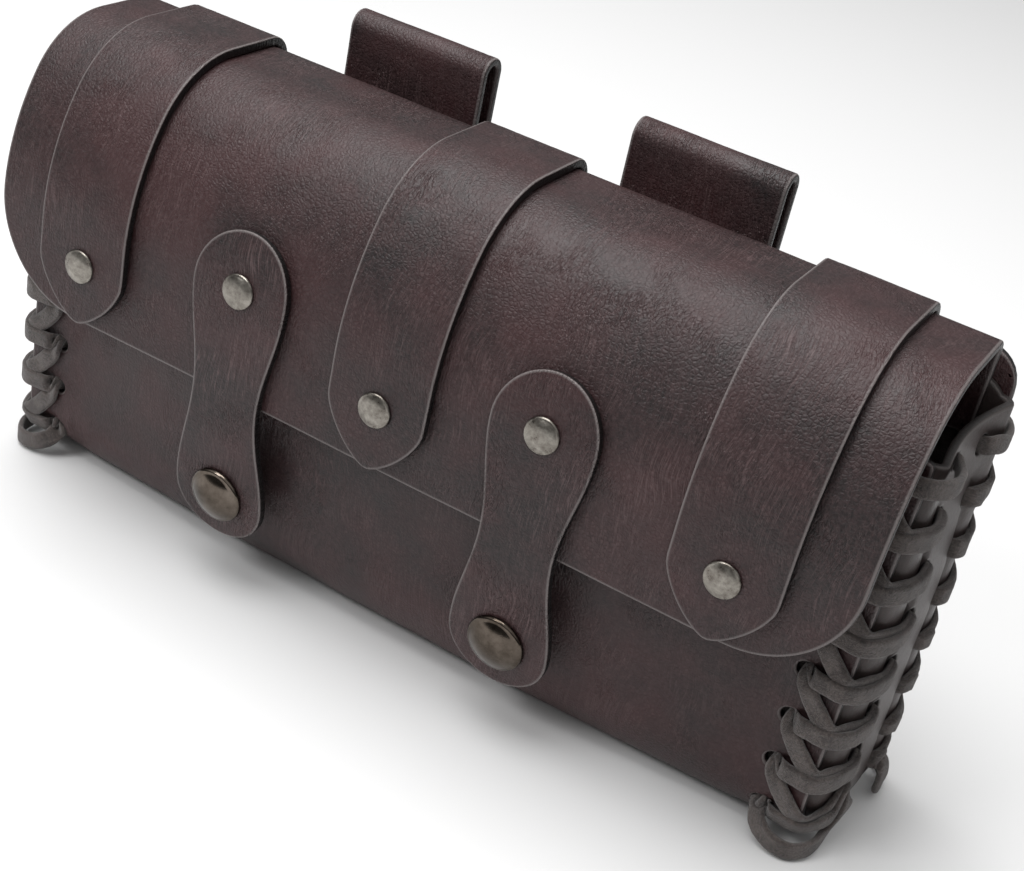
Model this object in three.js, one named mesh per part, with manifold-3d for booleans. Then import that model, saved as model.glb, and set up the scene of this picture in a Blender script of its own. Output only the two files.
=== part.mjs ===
// Belt pouch of dark leather: a folded body panel, two laced side gussets, a flap under three straps,
// two closing tabs with press studs, and two belt loops at the back.
// Millimetres, +Z up, the front towards -Y. The pieces are made with the back panel's outer face in
// the plane y = 0 and the floor at z = 0; the finished group is then centred over its footprint.
import * as THREE from "three";
import { mergeVertices } from "three/addons/utils/BufferGeometryUtils.js";
import Module from "manifold-3d";

// Leather thicknesses, and the gap kept between pieces that lie against each other
const panelWall = 2.2;
const gussetWall = 2;
const strapWall = 2.2;
const loopWall = 2;
const gap = 0.3;

// Body panel: front, bottom and back in one folded sheet, bulging in the middle of its front
const frontHalfWidth = 119;
const backHalfWidth = 123.5;
const middleDepth = 53;
const endDepth = 42.3;
const bulgeFrom = 40;
const bulgeTo = 112;
const kneeHeight = 75.5;
const backHeight = 120.4;
const backTopCorner = 9;
const frontLean = 4.4;
const frontTopLength = 32;
const frontTopBend = 48;
const frontTopBendAtEnd = 8;
const bellyRadius = 30;
const bellyRadiusAtEnd = 16;
const restRadius = 10;
const restRadiusAtEnd = 13;
const bellyBend = 50;
const backFoldRadius = 12;
const endRise = 1.6;
const endRiseLength = 24;

// Side gussets: a swelling side whose edge is turned in behind the body panel
const gussetTurn = 6;
const gussetFoldRadius = 3.5;
const gussetPastEdge = 1.8;
const gussetBelowFrontTop = 1;
const gussetBelowBackTop = 7;
const gussetSwell = 1.4;
const gussetTuck = 2.6;

// Lacing holes: the same heights on the panels and the gussets
const laceHoleRadius = 2;
const laceHoleSides = 6;
const laceRows = 8;
const lacePitch = 13.2;
const laceLowest = 10;
const laceInset = 10.4;
const laceGussetFront = 16;
const laceGussetBack = 13;
const laceGussetLowest = 13.5;

// Flap, from inside the back panel over the top and down the front
const flapHalfWidth = 118.4;
const flapCorner = 26;
const flapInsideLength = 20;
const flapRearRadius = 4.5;
const flapRearHeight = 120.3;
const flapTopLength = 16.2;
const flapTopFall = 0.5;
const flapShoulderRadius = 26;
const flapShoulderBend = 58;
const flapFrontRadius = 62;
const flapFrontLean = 1;
const flapFallLength = 24.5;

// Straps over the flap, with pointed ends
const strapHalfWidth = 13.4;
const strapSpread = 89.4;
const strapTipLength = 15;
const strapTipRoundness = 1.45;
const strapTipAboveHem = 0.6;
const strapRivetFromTip = 16;
const strapAboveFlapEnd = 2;
const strapRearRivetFromEnd = 7;

// Closing tabs: two round lobes and a waist
const tabSpread = 41.7;
const tabLobe = 13.5;
const tabWaist = 9.8;
const tabLength = 84.5;
const tabRivetFromTop = 14.2;
const tabSnapFromBottom = 12.9;
const tabTopAboveHem = 43.4;
const tabBendRadius = 110;
const tabCurlRadius = 90;
const tabCurlBend = 7;
const tabInward = 3;

// Belt loops
const loopWidth = 40;
const loopSpread = 40.5;
const loopTop = 137.8;
const loopBottom = 52;
const loopSlot = 4.6;
const loopSeatLength = 15;
const loopCurveRadius = 10;
const loopRivetSpread = 11;

// Rivets
const rivetShank = 1.4;
const rivetHead = 4.4;
const rivetHeadHeight = 1.5;
const rivetBack = 3.6;
const rivetBackHeight = 0.8;

// Press studs
const snapHead = 7.6;
const snapHeadHeight = 3.6;
const snapRim = 0.8;
const snapPost = 1.8;
const socketRadius = 5.6;
const socketWall = 1.2;
const studBase = 5.4;
const studBaseHeight = 0.8;
const studNeck = 2.6;
const studBack = 4.4;
const studGap = 0.5;

// How finely the flap, the straps and the belt loops are bent, in degrees
const arcStep = 7.5;
const loopArcStep = 20;

const wasm = await Module();
wasm.setup();

const radians = THREE.MathUtils.degToRad;
const mix = THREE.MathUtils.lerp;
const smooth = THREE.MathUtils.smoothstep;
const clamp = THREE.MathUtils.clamp;

const leather = { color: 0x3a2724, roughness: 0.55, metalness: 0 };
const darkLeather = { color: 0x332624, roughness: 0.6, metalness: 0 };
const nickel = { color: 0xb9b4ac, roughness: 0.3, metalness: 1 };
const chrome = { color: 0xa7a49c, roughness: 0.12, metalness: 1 };

const group = new THREE.Group();

function addPiece(name, geometry, finish) {
  const mesh = new THREE.Mesh(geometry, new THREE.MeshStandardMaterial(finish));
  mesh.name = name;
  group.add(mesh);
}

// A path in the y-z plane, built from straight runs and arcs. Its heading is in degrees:
// 0 goes forward (-y) and 90 goes up. A positive bend turns from forward towards up.
class Path {
  constructor(y, z, heading) {
    Object.assign(this, { y, z, heading, runs: [], length: 0 });
  }

  add(length, bend) {
    this.runs.push({ y: this.y, z: this.z, heading: this.heading, from: this.length, length, bend });
    const end = this.inRun(this.runs.length - 1, 1);
    this.y = end.y;
    this.z = end.z;
    this.heading += bend;
    this.length += length;
    return this;
  }

  line(length) {
    return this.add(length, 0);
  }

  arc(radius, bend) {
    return this.add(radius * Math.abs(radians(bend)), bend);
  }

  // The place at a share of one run
  inRun(index, share) {
    const run = this.runs[index];
    const start = radians(run.heading);
    const heading = start + radians(run.bend) * share;
    let forward = run.length * share * Math.cos(start);
    let up = run.length * share * Math.sin(start);
    if (run.bend !== 0) {
      const radius = run.length / radians(run.bend);
      forward = radius * (Math.sin(heading) - Math.sin(start));
      up = radius * (Math.cos(start) - Math.cos(heading));
    }
    return { y: run.y - forward, z: run.z + up, heading };
  }

  at(distance) {
    const found = this.runs.findLastIndex((run) => distance >= run.from);
    const index = Math.max(0, found);
    return this.inRun(index, (distance - this.runs[index].from) / this.runs[index].length);
  }

  // Distances to stop at: both ends of each straight run, and each arc in steps of stepAngle degrees
  stops(stepAngle) {
    const list = [];
    for (const run of this.runs) {
      const steps = Math.max(1, Math.ceil(Math.abs(run.bend) / stepAngle));
      for (let i = 0; i < steps; i += 1) list.push(run.from + (run.length * i) / steps);
    }
    list.push(this.length);
    return list;
  }
}

// The point beside a place on a path, to the side that is up when the path goes forward
function beside(place, distance) {
  return {
    y: place.y + Math.sin(place.heading) * distance,
    z: place.z + Math.cos(place.heading) * distance,
  };
}

function signedVolume(positions, triangles) {
  const corner = (i) => new THREE.Vector3().fromArray(positions, 3 * triangles[i]);
  let sum = 0;
  for (let i = 0; i < triangles.length; i += 3) {
    sum += corner(i).dot(corner(i + 1).cross(corner(i + 2)));
  }
  return sum / 6;
}

// A closed shape from points and triangles, with shared points merged and its faces pointing out
function closedShape(positions, triangles) {
  const loose = new THREE.BufferGeometry();
  loose.setAttribute("position", new THREE.Float32BufferAttribute(positions, 3));
  loose.setIndex(triangles);
  const merged = mergeVertices(loose, 1e-4);
  const index = merged.index.array;
  const kept = [];
  for (let i = 0; i < index.length; i += 3) {
    const [a, b, c] = [index[i], index[i + 1], index[i + 2]];
    if (a !== b && b !== c && c !== a) kept.push(a, b, c);
  }
  if (signedVolume(merged.attributes.position.array, kept) < 0) kept.reverse();
  merged.setIndex(kept);
  return merged;
}

// A closed wall between two grids of points, rows by columns: its far face and its near face.
// folded is true where the last row lies on itself, so that there is no edge to close there.
function wallBetween(far, near, folded = false) {
  const rows = far.length;
  const columns = far[0].length;
  const positions = [...far.flat(2), ...near.flat(2)];
  const triangles = [];
  const farAt = (row, column) => row * columns + column;
  const nearAt = (row, column) => (rows + row) * columns + column;
  const quad = (a, b, c, d) => triangles.push(a, b, c, a, c, d);
  for (let r = 0; r + 1 < rows; r += 1) {
    for (let c = 0; c + 1 < columns; c += 1) {
      quad(farAt(r, c), farAt(r, c + 1), farAt(r + 1, c + 1), farAt(r + 1, c));
      quad(nearAt(r, c), nearAt(r + 1, c), nearAt(r + 1, c + 1), nearAt(r, c + 1));
    }
    quad(farAt(r, 0), farAt(r + 1, 0), nearAt(r + 1, 0), nearAt(r, 0));
    quad(farAt(r + 1, columns - 1), farAt(r, columns - 1), nearAt(r, columns - 1), nearAt(r + 1, columns - 1));
  }
  for (let c = 0; c + 1 < columns; c += 1) {
    quad(farAt(0, c + 1), farAt(0, c), nearAt(0, c), nearAt(0, c + 1));
    if (!folded) quad(farAt(rows - 1, c), farAt(rows - 1, c + 1), nearAt(rows - 1, c + 1), nearAt(rows - 1, c));
  }
  return closedShape(positions, triangles);
}

function solidFrom(shape) {
  return new wasm.Manifold(
    new wasm.Mesh({
      numProp: 3,
      vertProperties: new Float32Array(shape.attributes.position.array),
      triVerts: new Uint32Array(shape.index.array),
    }),
  );
}

function cut(shape, tools) {
  let solid = solidFrom(shape);
  for (const tool of tools) solid = solid.subtract(solidFrom(tool));
  const mesh = solid.getMesh();
  const result = new THREE.BufferGeometry();
  result.setAttribute("position", new THREE.BufferAttribute(mesh.vertProperties, 3));
  result.setIndex(new THREE.BufferAttribute(mesh.triVerts, 1));
  return result;
}

// A shape that is turned round the y axis, from [radius, height] pairs, closed on the axis or on itself
function turned(profile, sides) {
  const lathe = new THREE.LatheGeometry(profile.map(([r, h]) => new THREE.Vector2(r, h)), sides);
  return closedShape([...lathe.attributes.position.array], [...lathe.index.array]);
}

// Moves a turned shape from the origin to a point, with its axis along the outward direction
function seated(shape, x, point, outward) {
  const turn = new THREE.Quaternion().setFromUnitVectors(new THREE.Vector3(0, 1, 0), outward);
  shape.applyQuaternion(turn);
  shape.translate(x, point.y, point.z);
  return shape;
}

const outwardAt = (place) => new THREE.Vector3(0, Math.sin(place.heading), Math.cos(place.heading));
const inwardAt = (place) => outwardAt(place).negate();

// A tool for a round hole, long enough on both sides of its middle. Its flat sides lie on the circle.
const punchReach = 8;

function punch(radius, x, point, direction, sides = 8) {
  const corner = radius / Math.cos(Math.PI / sides);
  const profile = [[0, -punchReach], [corner, -punchReach], [corner, punchReach], [0, punchReach]];
  return seated(turned(profile, sides), x, point, direction);
}

// Body panel

// 0 in the bulging middle, 1 at the laced ends
const towardsEnd = (x) => smooth(Math.abs(x), bulgeFrom, bulgeTo);

function backTopAt(x) {
  const past = clamp(Math.abs(x) - (backHalfWidth - backTopCorner), 0, backTopCorner);
  return backHeight - backTopCorner + Math.sqrt(backTopCorner ** 2 - past ** 2);
}

// The panel's outer line in the plane at x, from the top of the back round to the top of the front
function bodySection(x) {
  const share = towardsEnd(x);
  const lean = mix(frontLean, 0, share);
  const belly = mix(bellyRadius, bellyRadiusAtEnd, share);
  const rest = mix(restRadius, restRadiusAtEnd, share);
  const bottom = endRise * smooth(Math.abs(x), frontHalfWidth - endRiseLength, frontHalfWidth);
  const low = radians(90 - bellyBend);
  const high = radians(90 - lean);
  const rise = rest * (1 - Math.cos(low)) + belly * (Math.cos(low) - Math.cos(high));
  const reach = rest * Math.sin(low) + belly * (Math.sin(high) - Math.sin(low));
  const frontLength = (kneeHeight - bottom - rise) / Math.sin(high);
  const depth = mix(middleDepth, endDepth, share);
  const top = backTopAt(x);
  return new Path(0, top, -90)
    .line(top - bottom - backFoldRadius)
    .arc(backFoldRadius, 90)
    .line(depth - backFoldRadius - reach - frontLength * Math.cos(high))
    .arc(rest, 90 - bellyBend)
    .arc(belly, bellyBend - lean)
    .line(frontLength)
    .add(frontTopLength, mix(frontTopBend, frontTopBendAtEnd, share));
}

// The section's runs, in order, and how many steps each takes on the panel
const run = { back: 0, backFold: 1, bottom: 2, rest: 3, belly: 4, front: 5, frontTop: 6 };
const panelSteps = { back: 1, backFold: 6, bottom: 1, rest: 4, belly: 6, front: 2, frontTop: 4 };

// The panel's raw side edge stands further out at the back than at the front
const edgeAt = (y) => mix(backHalfWidth, frontHalfWidth, clamp(-y / endDepth, 0, 1));

function bodyPanel() {
  const half = [0, 0.32, 0.42, 0.54, 0.67, 0.79, 0.88, 0.93, 0.965, 0.985, 1];
  const stations = [...half.slice(1).map((share) => -share).reverse(), ...half];
  const stops = Object.keys(run).flatMap((name) =>
    Array.from({ length: panelSteps[name] }, (_, i) => [run[name], i / panelSteps[name]]),
  );
  stops.push([run.frontTop, 1]);
  const endSection = bodySection(frontHalfWidth);
  const far = [];
  const near = [];
  for (const [index, share] of stops) {
    const edge = edgeAt(endSection.inRun(index, share).y);
    const places = stations.map((station) => bodySection(edge * station).inRun(index, share));
    const inside = places.map((place) => beside(place, panelWall));
    far.push(places.map((place, i) => [edge * stations[i], place.y, place.z]));
    near.push(inside.map((point, i) => [edge * stations[i], point.y, point.z]));
  }
  return wallBetween(far, near);
}

// The place on the front of a section at a height, found by halving the distance
function frontPlaceAt(section, z) {
  let low = section.runs[run.rest].from;
  let high = section.length;
  for (let i = 0; i < 30; i += 1) {
    const middle = (low + high) / 2;
    if (section.at(middle).z < z) low = middle;
    else high = middle;
  }
  return section.at(low);
}

const backPlaceAt = (section, z) => section.at(section.at(0).z - z);

const laceHeights = Array.from({ length: laceRows }, (_, k) => laceLowest + k * lacePitch);

function lacePunches() {
  const tools = [];
  for (const side of [-1, 1]) {
    const add = (x, place) =>
      tools.push(punch(laceHoleRadius, side * x, place, outwardAt(place), laceHoleSides));
    const frontX = frontHalfWidth - laceInset;
    const backX = backHalfWidth - laceInset;
    for (const z of laceHeights) {
      add(frontX, frontPlaceAt(bodySection(frontX), z));
      add(backX, backPlaceAt(bodySection(backX), Math.max(z, backFoldRadius + endRise)));
    }
    add(frontX, bodySection(frontX).inRun(run.bottom, 0.5));
  }
  return tools;
}

// Side gussets

// One half of the gusset's outline, from its top to the middle of the bottom: [run, share] pairs
function outlineHalf(parts) {
  const list = parts.flatMap(([index, steps, from, to]) =>
    Array.from({ length: steps }, (_, i) => [index, mix(from, to, i / steps)]),
  );
  list.push([run.bottom, 0.5]);
  return list;
}

function gusset(side) {
  const frontRows = outlineHalf([
    [run.frontTop, 3, 1 - gussetBelowFrontTop / frontTopLength, 0],
    [run.front, 4, 1, 0],
    [run.belly, 3, 1, 0],
    [run.rest, 3, 1, 0],
    [run.bottom, 1, 1, 0.5],
  ]);
  const backRows = outlineHalf([
    [run.back, 8, gussetBelowBackTop / backHeight, 1],
    [run.backFold, 4, 0, 1],
    [run.bottom, 2, 0, 0.5],
  ]);
  const behind = panelWall + gap;
  const foldSteps = 3;
  const faceSteps = 4;
  const swellRows = 4;
  const faceX = (y) => edgeAt(y) + gussetPastEdge;

  // The turned edge and the fold on one side of a row, from the free edge to the face
  const edgeOf = ([index, share], inset) => {
    const reference = beside(bodySection(frontHalfWidth).inRun(index, share), behind);
    const foldX = faceX(reference.y) - gussetFoldRadius;
    const placeAt = (x) => bodySection(x).inRun(index, share);
    const points = [foldX - gussetTurn, foldX - gussetTurn / 2].map((x) => {
      const point = beside(placeAt(x), behind + inset);
      return [side * x, point.y, point.z];
    });
    const place = placeAt(foldX);
    for (let i = 0; i <= foldSteps; i += 1) {
      const angle = (Math.PI / 2) * (i / foldSteps);
      const radius = gussetFoldRadius - inset;
      const point = beside(place, behind + gussetFoldRadius - radius * Math.cos(angle));
      points.push([side * (foldX + radius * Math.sin(angle)), point.y, point.z]);
    }
    return points;
  };

  const rowOf = (k, inset) => {
    const front = edgeOf(frontRows[k], inset);
    const back = edgeOf(backRows[k], inset);
    const last = frontRows.length - 1;
    const grown = smooth(k, 0, swellRows);
    const fade = smooth(last - k, 0, swellRows);
    const swell = mix(-gussetTuck, gussetSwell, grown) * fade;
    const from = front.at(-1);
    const to = back.at(-1);
    const face = [];
    for (let i = 1; i < faceSteps; i += 1) {
      const share = i / faceSteps;
      const [x, y, z] = [0, 1, 2].map((axis) => mix(from[axis], to[axis], share));
      face.push([x + side * swell * Math.sin(Math.PI * share), y, z]);
    }
    return [...front, ...face, ...back.reverse()];
  };

  const rows = frontRows.map((_, k) => k);
  const shape = wallBetween(rows.map((k) => rowOf(k, 0)), rows.map((k) => rowOf(k, gussetWall)), true);
  const sideways = new THREE.Vector3(1, 0, 0);
  const tools = laceHeights.flatMap((height) => {
    const z = Math.max(height, laceGussetLowest);
    const frontY = frontPlaceAt(bodySection(frontHalfWidth), Math.max(height, kneeHeight / 2)).y;
    return [frontY + laceGussetFront, -laceGussetBack].map((y) =>
      punch(laceHoleRadius, side * (faceX(y) - gussetWall / 2), { y, z }, sideways, laceHoleSides),
    );
  });
  return cut(shape, tools);
}

// Rivets: a flat domed head, a shank through the leather and a plain plate behind.
// grip is the thickness of all that is held, the gaps between the pieces included.
function rivet(grip) {
  const behind = -(grip + gap);
  return turned(
    [
      [0, behind - rivetBackHeight],
      [rivetBack, behind - rivetBackHeight],
      [rivetBack, behind],
      [rivetShank, behind],
      [rivetShank, gap],
      [rivetHead, gap],
      [rivetHead, gap + rivetHeadHeight * 0.5],
      [rivetHead * 0.8, gap + rivetHeadHeight * 0.92],
      [0, gap + rivetHeadHeight],
    ],
    10,
  );
}

const rivetHole = rivetShank + gap;

// Flap

// Its rear strip lies inside the back panel, with the ends of the straps between the two
const flapBehind = panelWall + gap + strapWall + gap;
const flapPath = new Path(-flapBehind, flapRearHeight - flapInsideLength, 90)
  .line(flapInsideLength)
  .arc(flapRearRadius, -90 - flapTopFall)
  .line(flapTopLength)
  .arc(flapShoulderRadius, flapTopFall - flapShoulderBend)
  .arc(flapFrontRadius, -(90 - flapShoulderBend - flapFrontLean))
  .line(flapFallLength);

// A sheet along a path. widthAt gives its half width at a distance from its last stop, and lift is
// how far its near face stands off the path, on the side that beside() gives.
function sheetAlong(path, stops, centre, widthAt, lift, wall) {
  const rowAt = (stop, distance) => {
    const point = beside(path.at(stop), distance);
    const width = widthAt(stops.at(-1) - stop);
    return [-1, 1].map((k) => [centre + k * width, point.y, point.z]);
  };
  const near = stops.map((stop) => rowAt(stop, lift));
  const far = stops.map((stop) => rowAt(stop, lift + wall));
  return wallBetween(far, near);
}

// Stops on the flap's path from one distance to another, with closer ones over the last length,
// where the outline is round
function stopsWithRoundEnd(from, to, length, steps) {
  const roundFrom = to - length;
  const between = flapPath.stops(arcStep).filter((stop) => stop > from && stop < roundFrom - 1);
  const round = Array.from({ length: steps + 1 }, (_, i) => Math.sin((Math.PI / 2) * (i / steps)));
  return [from, ...between, ...round.map((share) => roundFrom + length * share)];
}

function flapWidth(fromHem) {
  const past = clamp(flapCorner - fromHem, 0, flapCorner);
  return flapHalfWidth - flapCorner + Math.sqrt(flapCorner ** 2 - past ** 2);
}

const strapCentres = { left: -strapSpread, middle: 0, right: strapSpread };
const tabCentres = { left: -tabSpread, right: tabSpread };

// Straps: they lie on the flap all the way, from inside the back panel to just above the flap's hem
const strapStart = strapAboveFlapEnd;
const strapEnd = flapPath.length - strapTipAboveHem;

function strapWidth(fromTip) {
  const past = clamp(1 - fromTip / strapTipLength, 0, 1);
  return strapHalfWidth * (1 - past ** strapTipRoundness) ** (1 / strapTipRoundness);
}

// Tabs: down the flap, past its hem, and on beside the front panel
const frontAtTab = bodySection(tabSpread);
const frontHeading = -(90 + frontLean * (1 - towardsEnd(tabSpread)));

function makeTabPath() {
  const start = flapPath.length - tabTopAboveHem;
  const place = flapPath.at(start);
  const point = beside(place, gap);
  const heading = THREE.MathUtils.radToDeg(place.heading);
  const bend = frontHeading + 90 - flapFrontLean - tabInward;
  const path = new Path(point.y, point.z, heading)
    .arc(flapFrontRadius + gap, -(90 - flapFrontLean) - heading)
    .line(flapFallLength)
    .arc(tabBendRadius, bend);
  const curl = tabCurlRadius * radians(tabCurlBend);
  return path.line(tabLength - path.length - curl).arc(tabCurlRadius, -tabCurlBend);
}

const tabPath = makeTabPath();

function tabWidth(fromEnd) {
  const rivetAt = tabLength - tabRivetFromTop;
  const span = (fromEnd - tabSnapFromBottom) / (rivetAt - tabSnapFromBottom);
  const round = (radius, past) => radius * Math.sqrt(Math.max(0, 1 - past ** 2));
  if (span < 0) return round(tabLobe, 1 - fromEnd / tabSnapFromBottom);
  if (span > 1) return round(tabLobe, (fromEnd - rivetAt) / tabRivetFromTop);
  return mix(tabLobe, tabWaist, (1 - Math.cos(2 * Math.PI * span)) / 2);
}

// The tab's stops: round at both ends, evenly spaced between the two lobes' middles
function tabStops() {
  const roundSteps = 6;
  const waistSteps = 14;
  const snapAt = tabPath.length - tabSnapFromBottom;
  const list = [];
  for (let i = 0; i < roundSteps; i += 1) {
    list.push(tabRivetFromTop * (1 - Math.cos((Math.PI / 2) * (i / roundSteps))));
  }
  for (let i = 0; i <= waistSteps; i += 1) list.push(mix(tabRivetFromTop, snapAt, i / waistSteps));
  for (let i = 1; i <= roundSteps; i += 1) {
    list.push(snapAt + tabSnapFromBottom * Math.sin((Math.PI / 2) * (i / roundSteps)));
  }
  return list;
}

// Where the press stud stands: the tab's near face, and the front panel straight behind it
const snapPlace = tabPath.at(tabPath.length - tabSnapFromBottom);

function placeBehind(place) {
  const along = { y: -Math.cos(place.heading), z: Math.sin(place.heading) };
  let low = frontAtTab.runs[run.belly].from;
  let high = frontAtTab.runs[run.frontTop].from;
  for (let i = 0; i < 30; i += 1) {
    const middle = (low + high) / 2;
    const point = frontAtTab.at(middle);
    const ahead = (point.y - place.y) * along.y + (point.z - place.z) * along.z;
    if (ahead > 0) low = middle;
    else high = middle;
  }
  return frontAtTab.at(low);
}

const studPlace = placeBehind(snapPlace);
const standOff = Math.hypot(snapPlace.y - studPlace.y, snapPlace.z - studPlace.z);

// The cap: a rimmed dome outside the tab and, behind it, a socket that is open towards the stud
function snapCap() {
  const behind = -(strapWall + gap);
  const mouth = -strapWall - (standOff - studGap - studBaseHeight - 2 * gap);
  const bore = studNeck + 2 * gap;
  return turned(
    [
      [bore, mouth],
      [socketRadius, mouth],
      [socketRadius, behind],
      [snapPost, behind],
      [snapPost, gap],
      [snapHead, gap],
      [snapHead, gap + snapRim],
      [snapHead * 0.86, gap + snapHeadHeight * 0.62],
      [snapHead * 0.5, gap + snapHeadHeight * 0.92],
      [0, gap + snapHeadHeight],
      [0, behind - socketWall],
      [bore, behind - socketWall],
      [bore, mouth],
    ],
    16,
  );
}

// The stud: a base on the front panel, a neck that stands in the socket, and a plate inside
function snapStud() {
  const plate = -(panelWall + studGap);
  const neckTop = standOff - socketWall - 3 * gap;
  return turned(
    [
      [0, plate - rivetBackHeight],
      [studBack, plate - rivetBackHeight],
      [studBack, plate],
      [rivetShank, plate],
      [rivetShank, studGap],
      [studBase, studGap],
      [studBase, studGap + studBaseHeight],
      [studNeck, studGap + studBaseHeight],
      [studNeck, neckTop],
      [0, neckTop],
    ],
    12,
  );
}

// Belt loops: up the back panel, over in a tight bend, down again and in to the same rivets
const loopRadius = loopSlot / 2 + loopWall;
const loopPath = (() => {
  const inward = 2 * loopRadius - 2 * loopWall - gap;
  const curve = THREE.MathUtils.radToDeg(Math.acos(1 - inward / (2 * loopCurveRadius)));
  const curveDrop = 2 * loopCurveRadius * Math.sin(radians(curve));
  const rise = loopTop - loopRadius - loopBottom;
  return new Path(gap, loopBottom, 90)
    .line(rise)
    .arc(loopRadius, 180)
    .line(rise - curveDrop - loopSeatLength)
    .arc(loopCurveRadius, curve)
    .arc(loopCurveRadius, -curve)
    .line(loopSeatLength);
})();

const loopCentres = { left: -loopSpread, right: loopSpread };
const loopRivetHeight = loopBottom + loopSeatLength / 2;
const loopRivetOffsets = { outer: -loopRivetSpread, inner: loopRivetSpread };
const backwards = new THREE.Vector3(0, 1, 0);

// Where the rivets go through
const frontRivetPlace = flapPath.at(strapEnd - strapRivetFromTip);
const rearRivetPlace = { y: 0, z: flapPath.at(strapStart + strapRearRivetFromEnd).z };
const tabRivetPlace = tabPath.at(tabRivetFromTop);

// Hole tools for the pieces that share a rivet
const holeAt = (x, place, radius = rivetHole) => punch(radius, x, place, outwardAt(place));
const strapFrontHoles = Object.values(strapCentres).map((x) => holeAt(x, frontRivetPlace));
const strapRearHoles = Object.values(strapCentres).map((x) => punch(rivetHole, x, rearRivetPlace, backwards));
const tabRivetHoles = Object.values(tabCentres).map((x) => holeAt(x, tabRivetPlace));
const studHoles = Object.values(tabCentres).map((x) => holeAt(x, studPlace));
const loopHoles = Object.values(loopCentres).flatMap((centre) =>
  Object.values(loopRivetOffsets).map((offset) =>
    punch(rivetHole, centre + offset, { y: 0, z: loopRivetHeight }, backwards),
  ),
);

// The pieces

addPiece("body_panel", cut(bodyPanel(), [...lacePunches(), ...strapRearHoles, ...studHoles, ...loopHoles]), leather);

for (const [name, side] of Object.entries({ left: -1, right: 1 })) {
  addPiece(`gusset_${name}`, gusset(side), darkLeather);
}

const flapStops = stopsWithRoundEnd(0, flapPath.length, flapCorner, 7);
const flapSheet = sheetAlong(flapPath, flapStops, 0, flapWidth, -panelWall, panelWall);
addPiece("flap", cut(flapSheet, [...strapFrontHoles, ...strapRearHoles, ...tabRivetHoles]), leather);

const strapStops = stopsWithRoundEnd(strapStart, strapEnd, strapTipLength, 6);
const frontHead = beside(frontRivetPlace, gap + strapWall);
const frontGrip = strapWall + gap + panelWall;
const rearGrip = panelWall + gap + frontGrip;
for (const [name, x] of Object.entries(strapCentres)) {
  const sheet = sheetAlong(flapPath, strapStops, x, strapWidth, gap, strapWall);
  addPiece(`strap_${name}`, cut(sheet, [...strapFrontHoles, ...strapRearHoles]), darkLeather);
  addPiece(`rivet_strap_${name}`, seated(rivet(frontGrip), x, frontHead, outwardAt(frontRivetPlace)), nickel);
  addPiece(`rivet_back_${name}`, seated(rivet(rearGrip), x, rearRivetPlace, backwards), nickel);
}

for (const [name, x] of Object.entries(tabCentres)) {
  const sheet = sheetAlong(tabPath, tabStops(), x, tabWidth, 0, strapWall);
  const tools = [holeAt(x, tabRivetPlace), holeAt(x, snapPlace, snapPost + gap)];
  addPiece(`tab_${name}`, cut(sheet, tools), darkLeather);
  const head = beside(tabRivetPlace, strapWall);
  const grip = strapWall + gap + panelWall + gap / 2;
  addPiece(`rivet_tab_${name}`, seated(rivet(grip), x, head, outwardAt(tabRivetPlace)), nickel);
  addPiece(`snap_cap_${name}`, seated(snapCap(), x, beside(snapPlace, strapWall), outwardAt(snapPlace)), chrome);
  addPiece(`snap_stud_${name}`, seated(snapStud(), x, studPlace, inwardAt(studPlace)), nickel);
}

const loopStops = loopPath.stops(loopArcStep);
for (const [name, centre] of Object.entries(loopCentres)) {
  const sheet = sheetAlong(loopPath, loopStops, centre, () => loopWidth / 2, 0, loopWall);
  addPiece(`belt_loop_${name}`, cut(sheet, loopHoles), darkLeather);
  for (const [place, offset] of Object.entries(loopRivetOffsets)) {
    const head = { y: gap + loopWall + gap + loopWall, z: loopRivetHeight };
    const grip = head.y + panelWall;
    addPiece(`rivet_loop_${name}_${place}`, seated(rivet(grip), centre + offset, head, backwards), nickel);
  }
}

// The origin is under the middle of the box round all the pieces
const box = new THREE.Box3().setFromObject(group);
const middle = box.getCenter(new THREE.Vector3());
group.position.set(-middle.x, -middle.y, -box.min.z);

export default group;
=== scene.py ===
import math
import random

import bpy
import numpy as np
from mathutils import Matrix, Vector, noise
from mathutils.geometry import delaunay_2d_cdt
from mathutils.kdtree import KDTree


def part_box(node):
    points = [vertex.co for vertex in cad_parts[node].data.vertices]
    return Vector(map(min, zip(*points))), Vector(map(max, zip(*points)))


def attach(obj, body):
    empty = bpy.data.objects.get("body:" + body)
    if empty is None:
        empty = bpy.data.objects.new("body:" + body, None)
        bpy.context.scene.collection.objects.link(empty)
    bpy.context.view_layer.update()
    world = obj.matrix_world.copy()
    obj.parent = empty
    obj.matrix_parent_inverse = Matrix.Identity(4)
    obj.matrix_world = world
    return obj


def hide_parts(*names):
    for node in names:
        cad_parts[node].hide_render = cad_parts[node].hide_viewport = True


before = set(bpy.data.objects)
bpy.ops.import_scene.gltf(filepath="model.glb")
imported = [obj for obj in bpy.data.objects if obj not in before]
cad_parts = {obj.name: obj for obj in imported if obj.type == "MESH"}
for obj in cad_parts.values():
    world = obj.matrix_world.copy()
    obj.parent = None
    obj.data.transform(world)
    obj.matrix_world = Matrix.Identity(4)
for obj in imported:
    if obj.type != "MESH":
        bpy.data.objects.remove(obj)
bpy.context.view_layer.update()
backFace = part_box("body_panel")[1][1]      # the back panel's outer face, metres
mm = 0.001
print("frame loaded")

# Lengths below are millimetres, measured as in the part's source: x from the middle, y from the
# back panel's outer face (front is negative), z from the floor.
leatherSizes = {"panel": 2.2, "gusset": 2.0, "strap": 2.2, "loop": 2.0, "gap": 0.3}
gap = leatherSizes["gap"]


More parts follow.
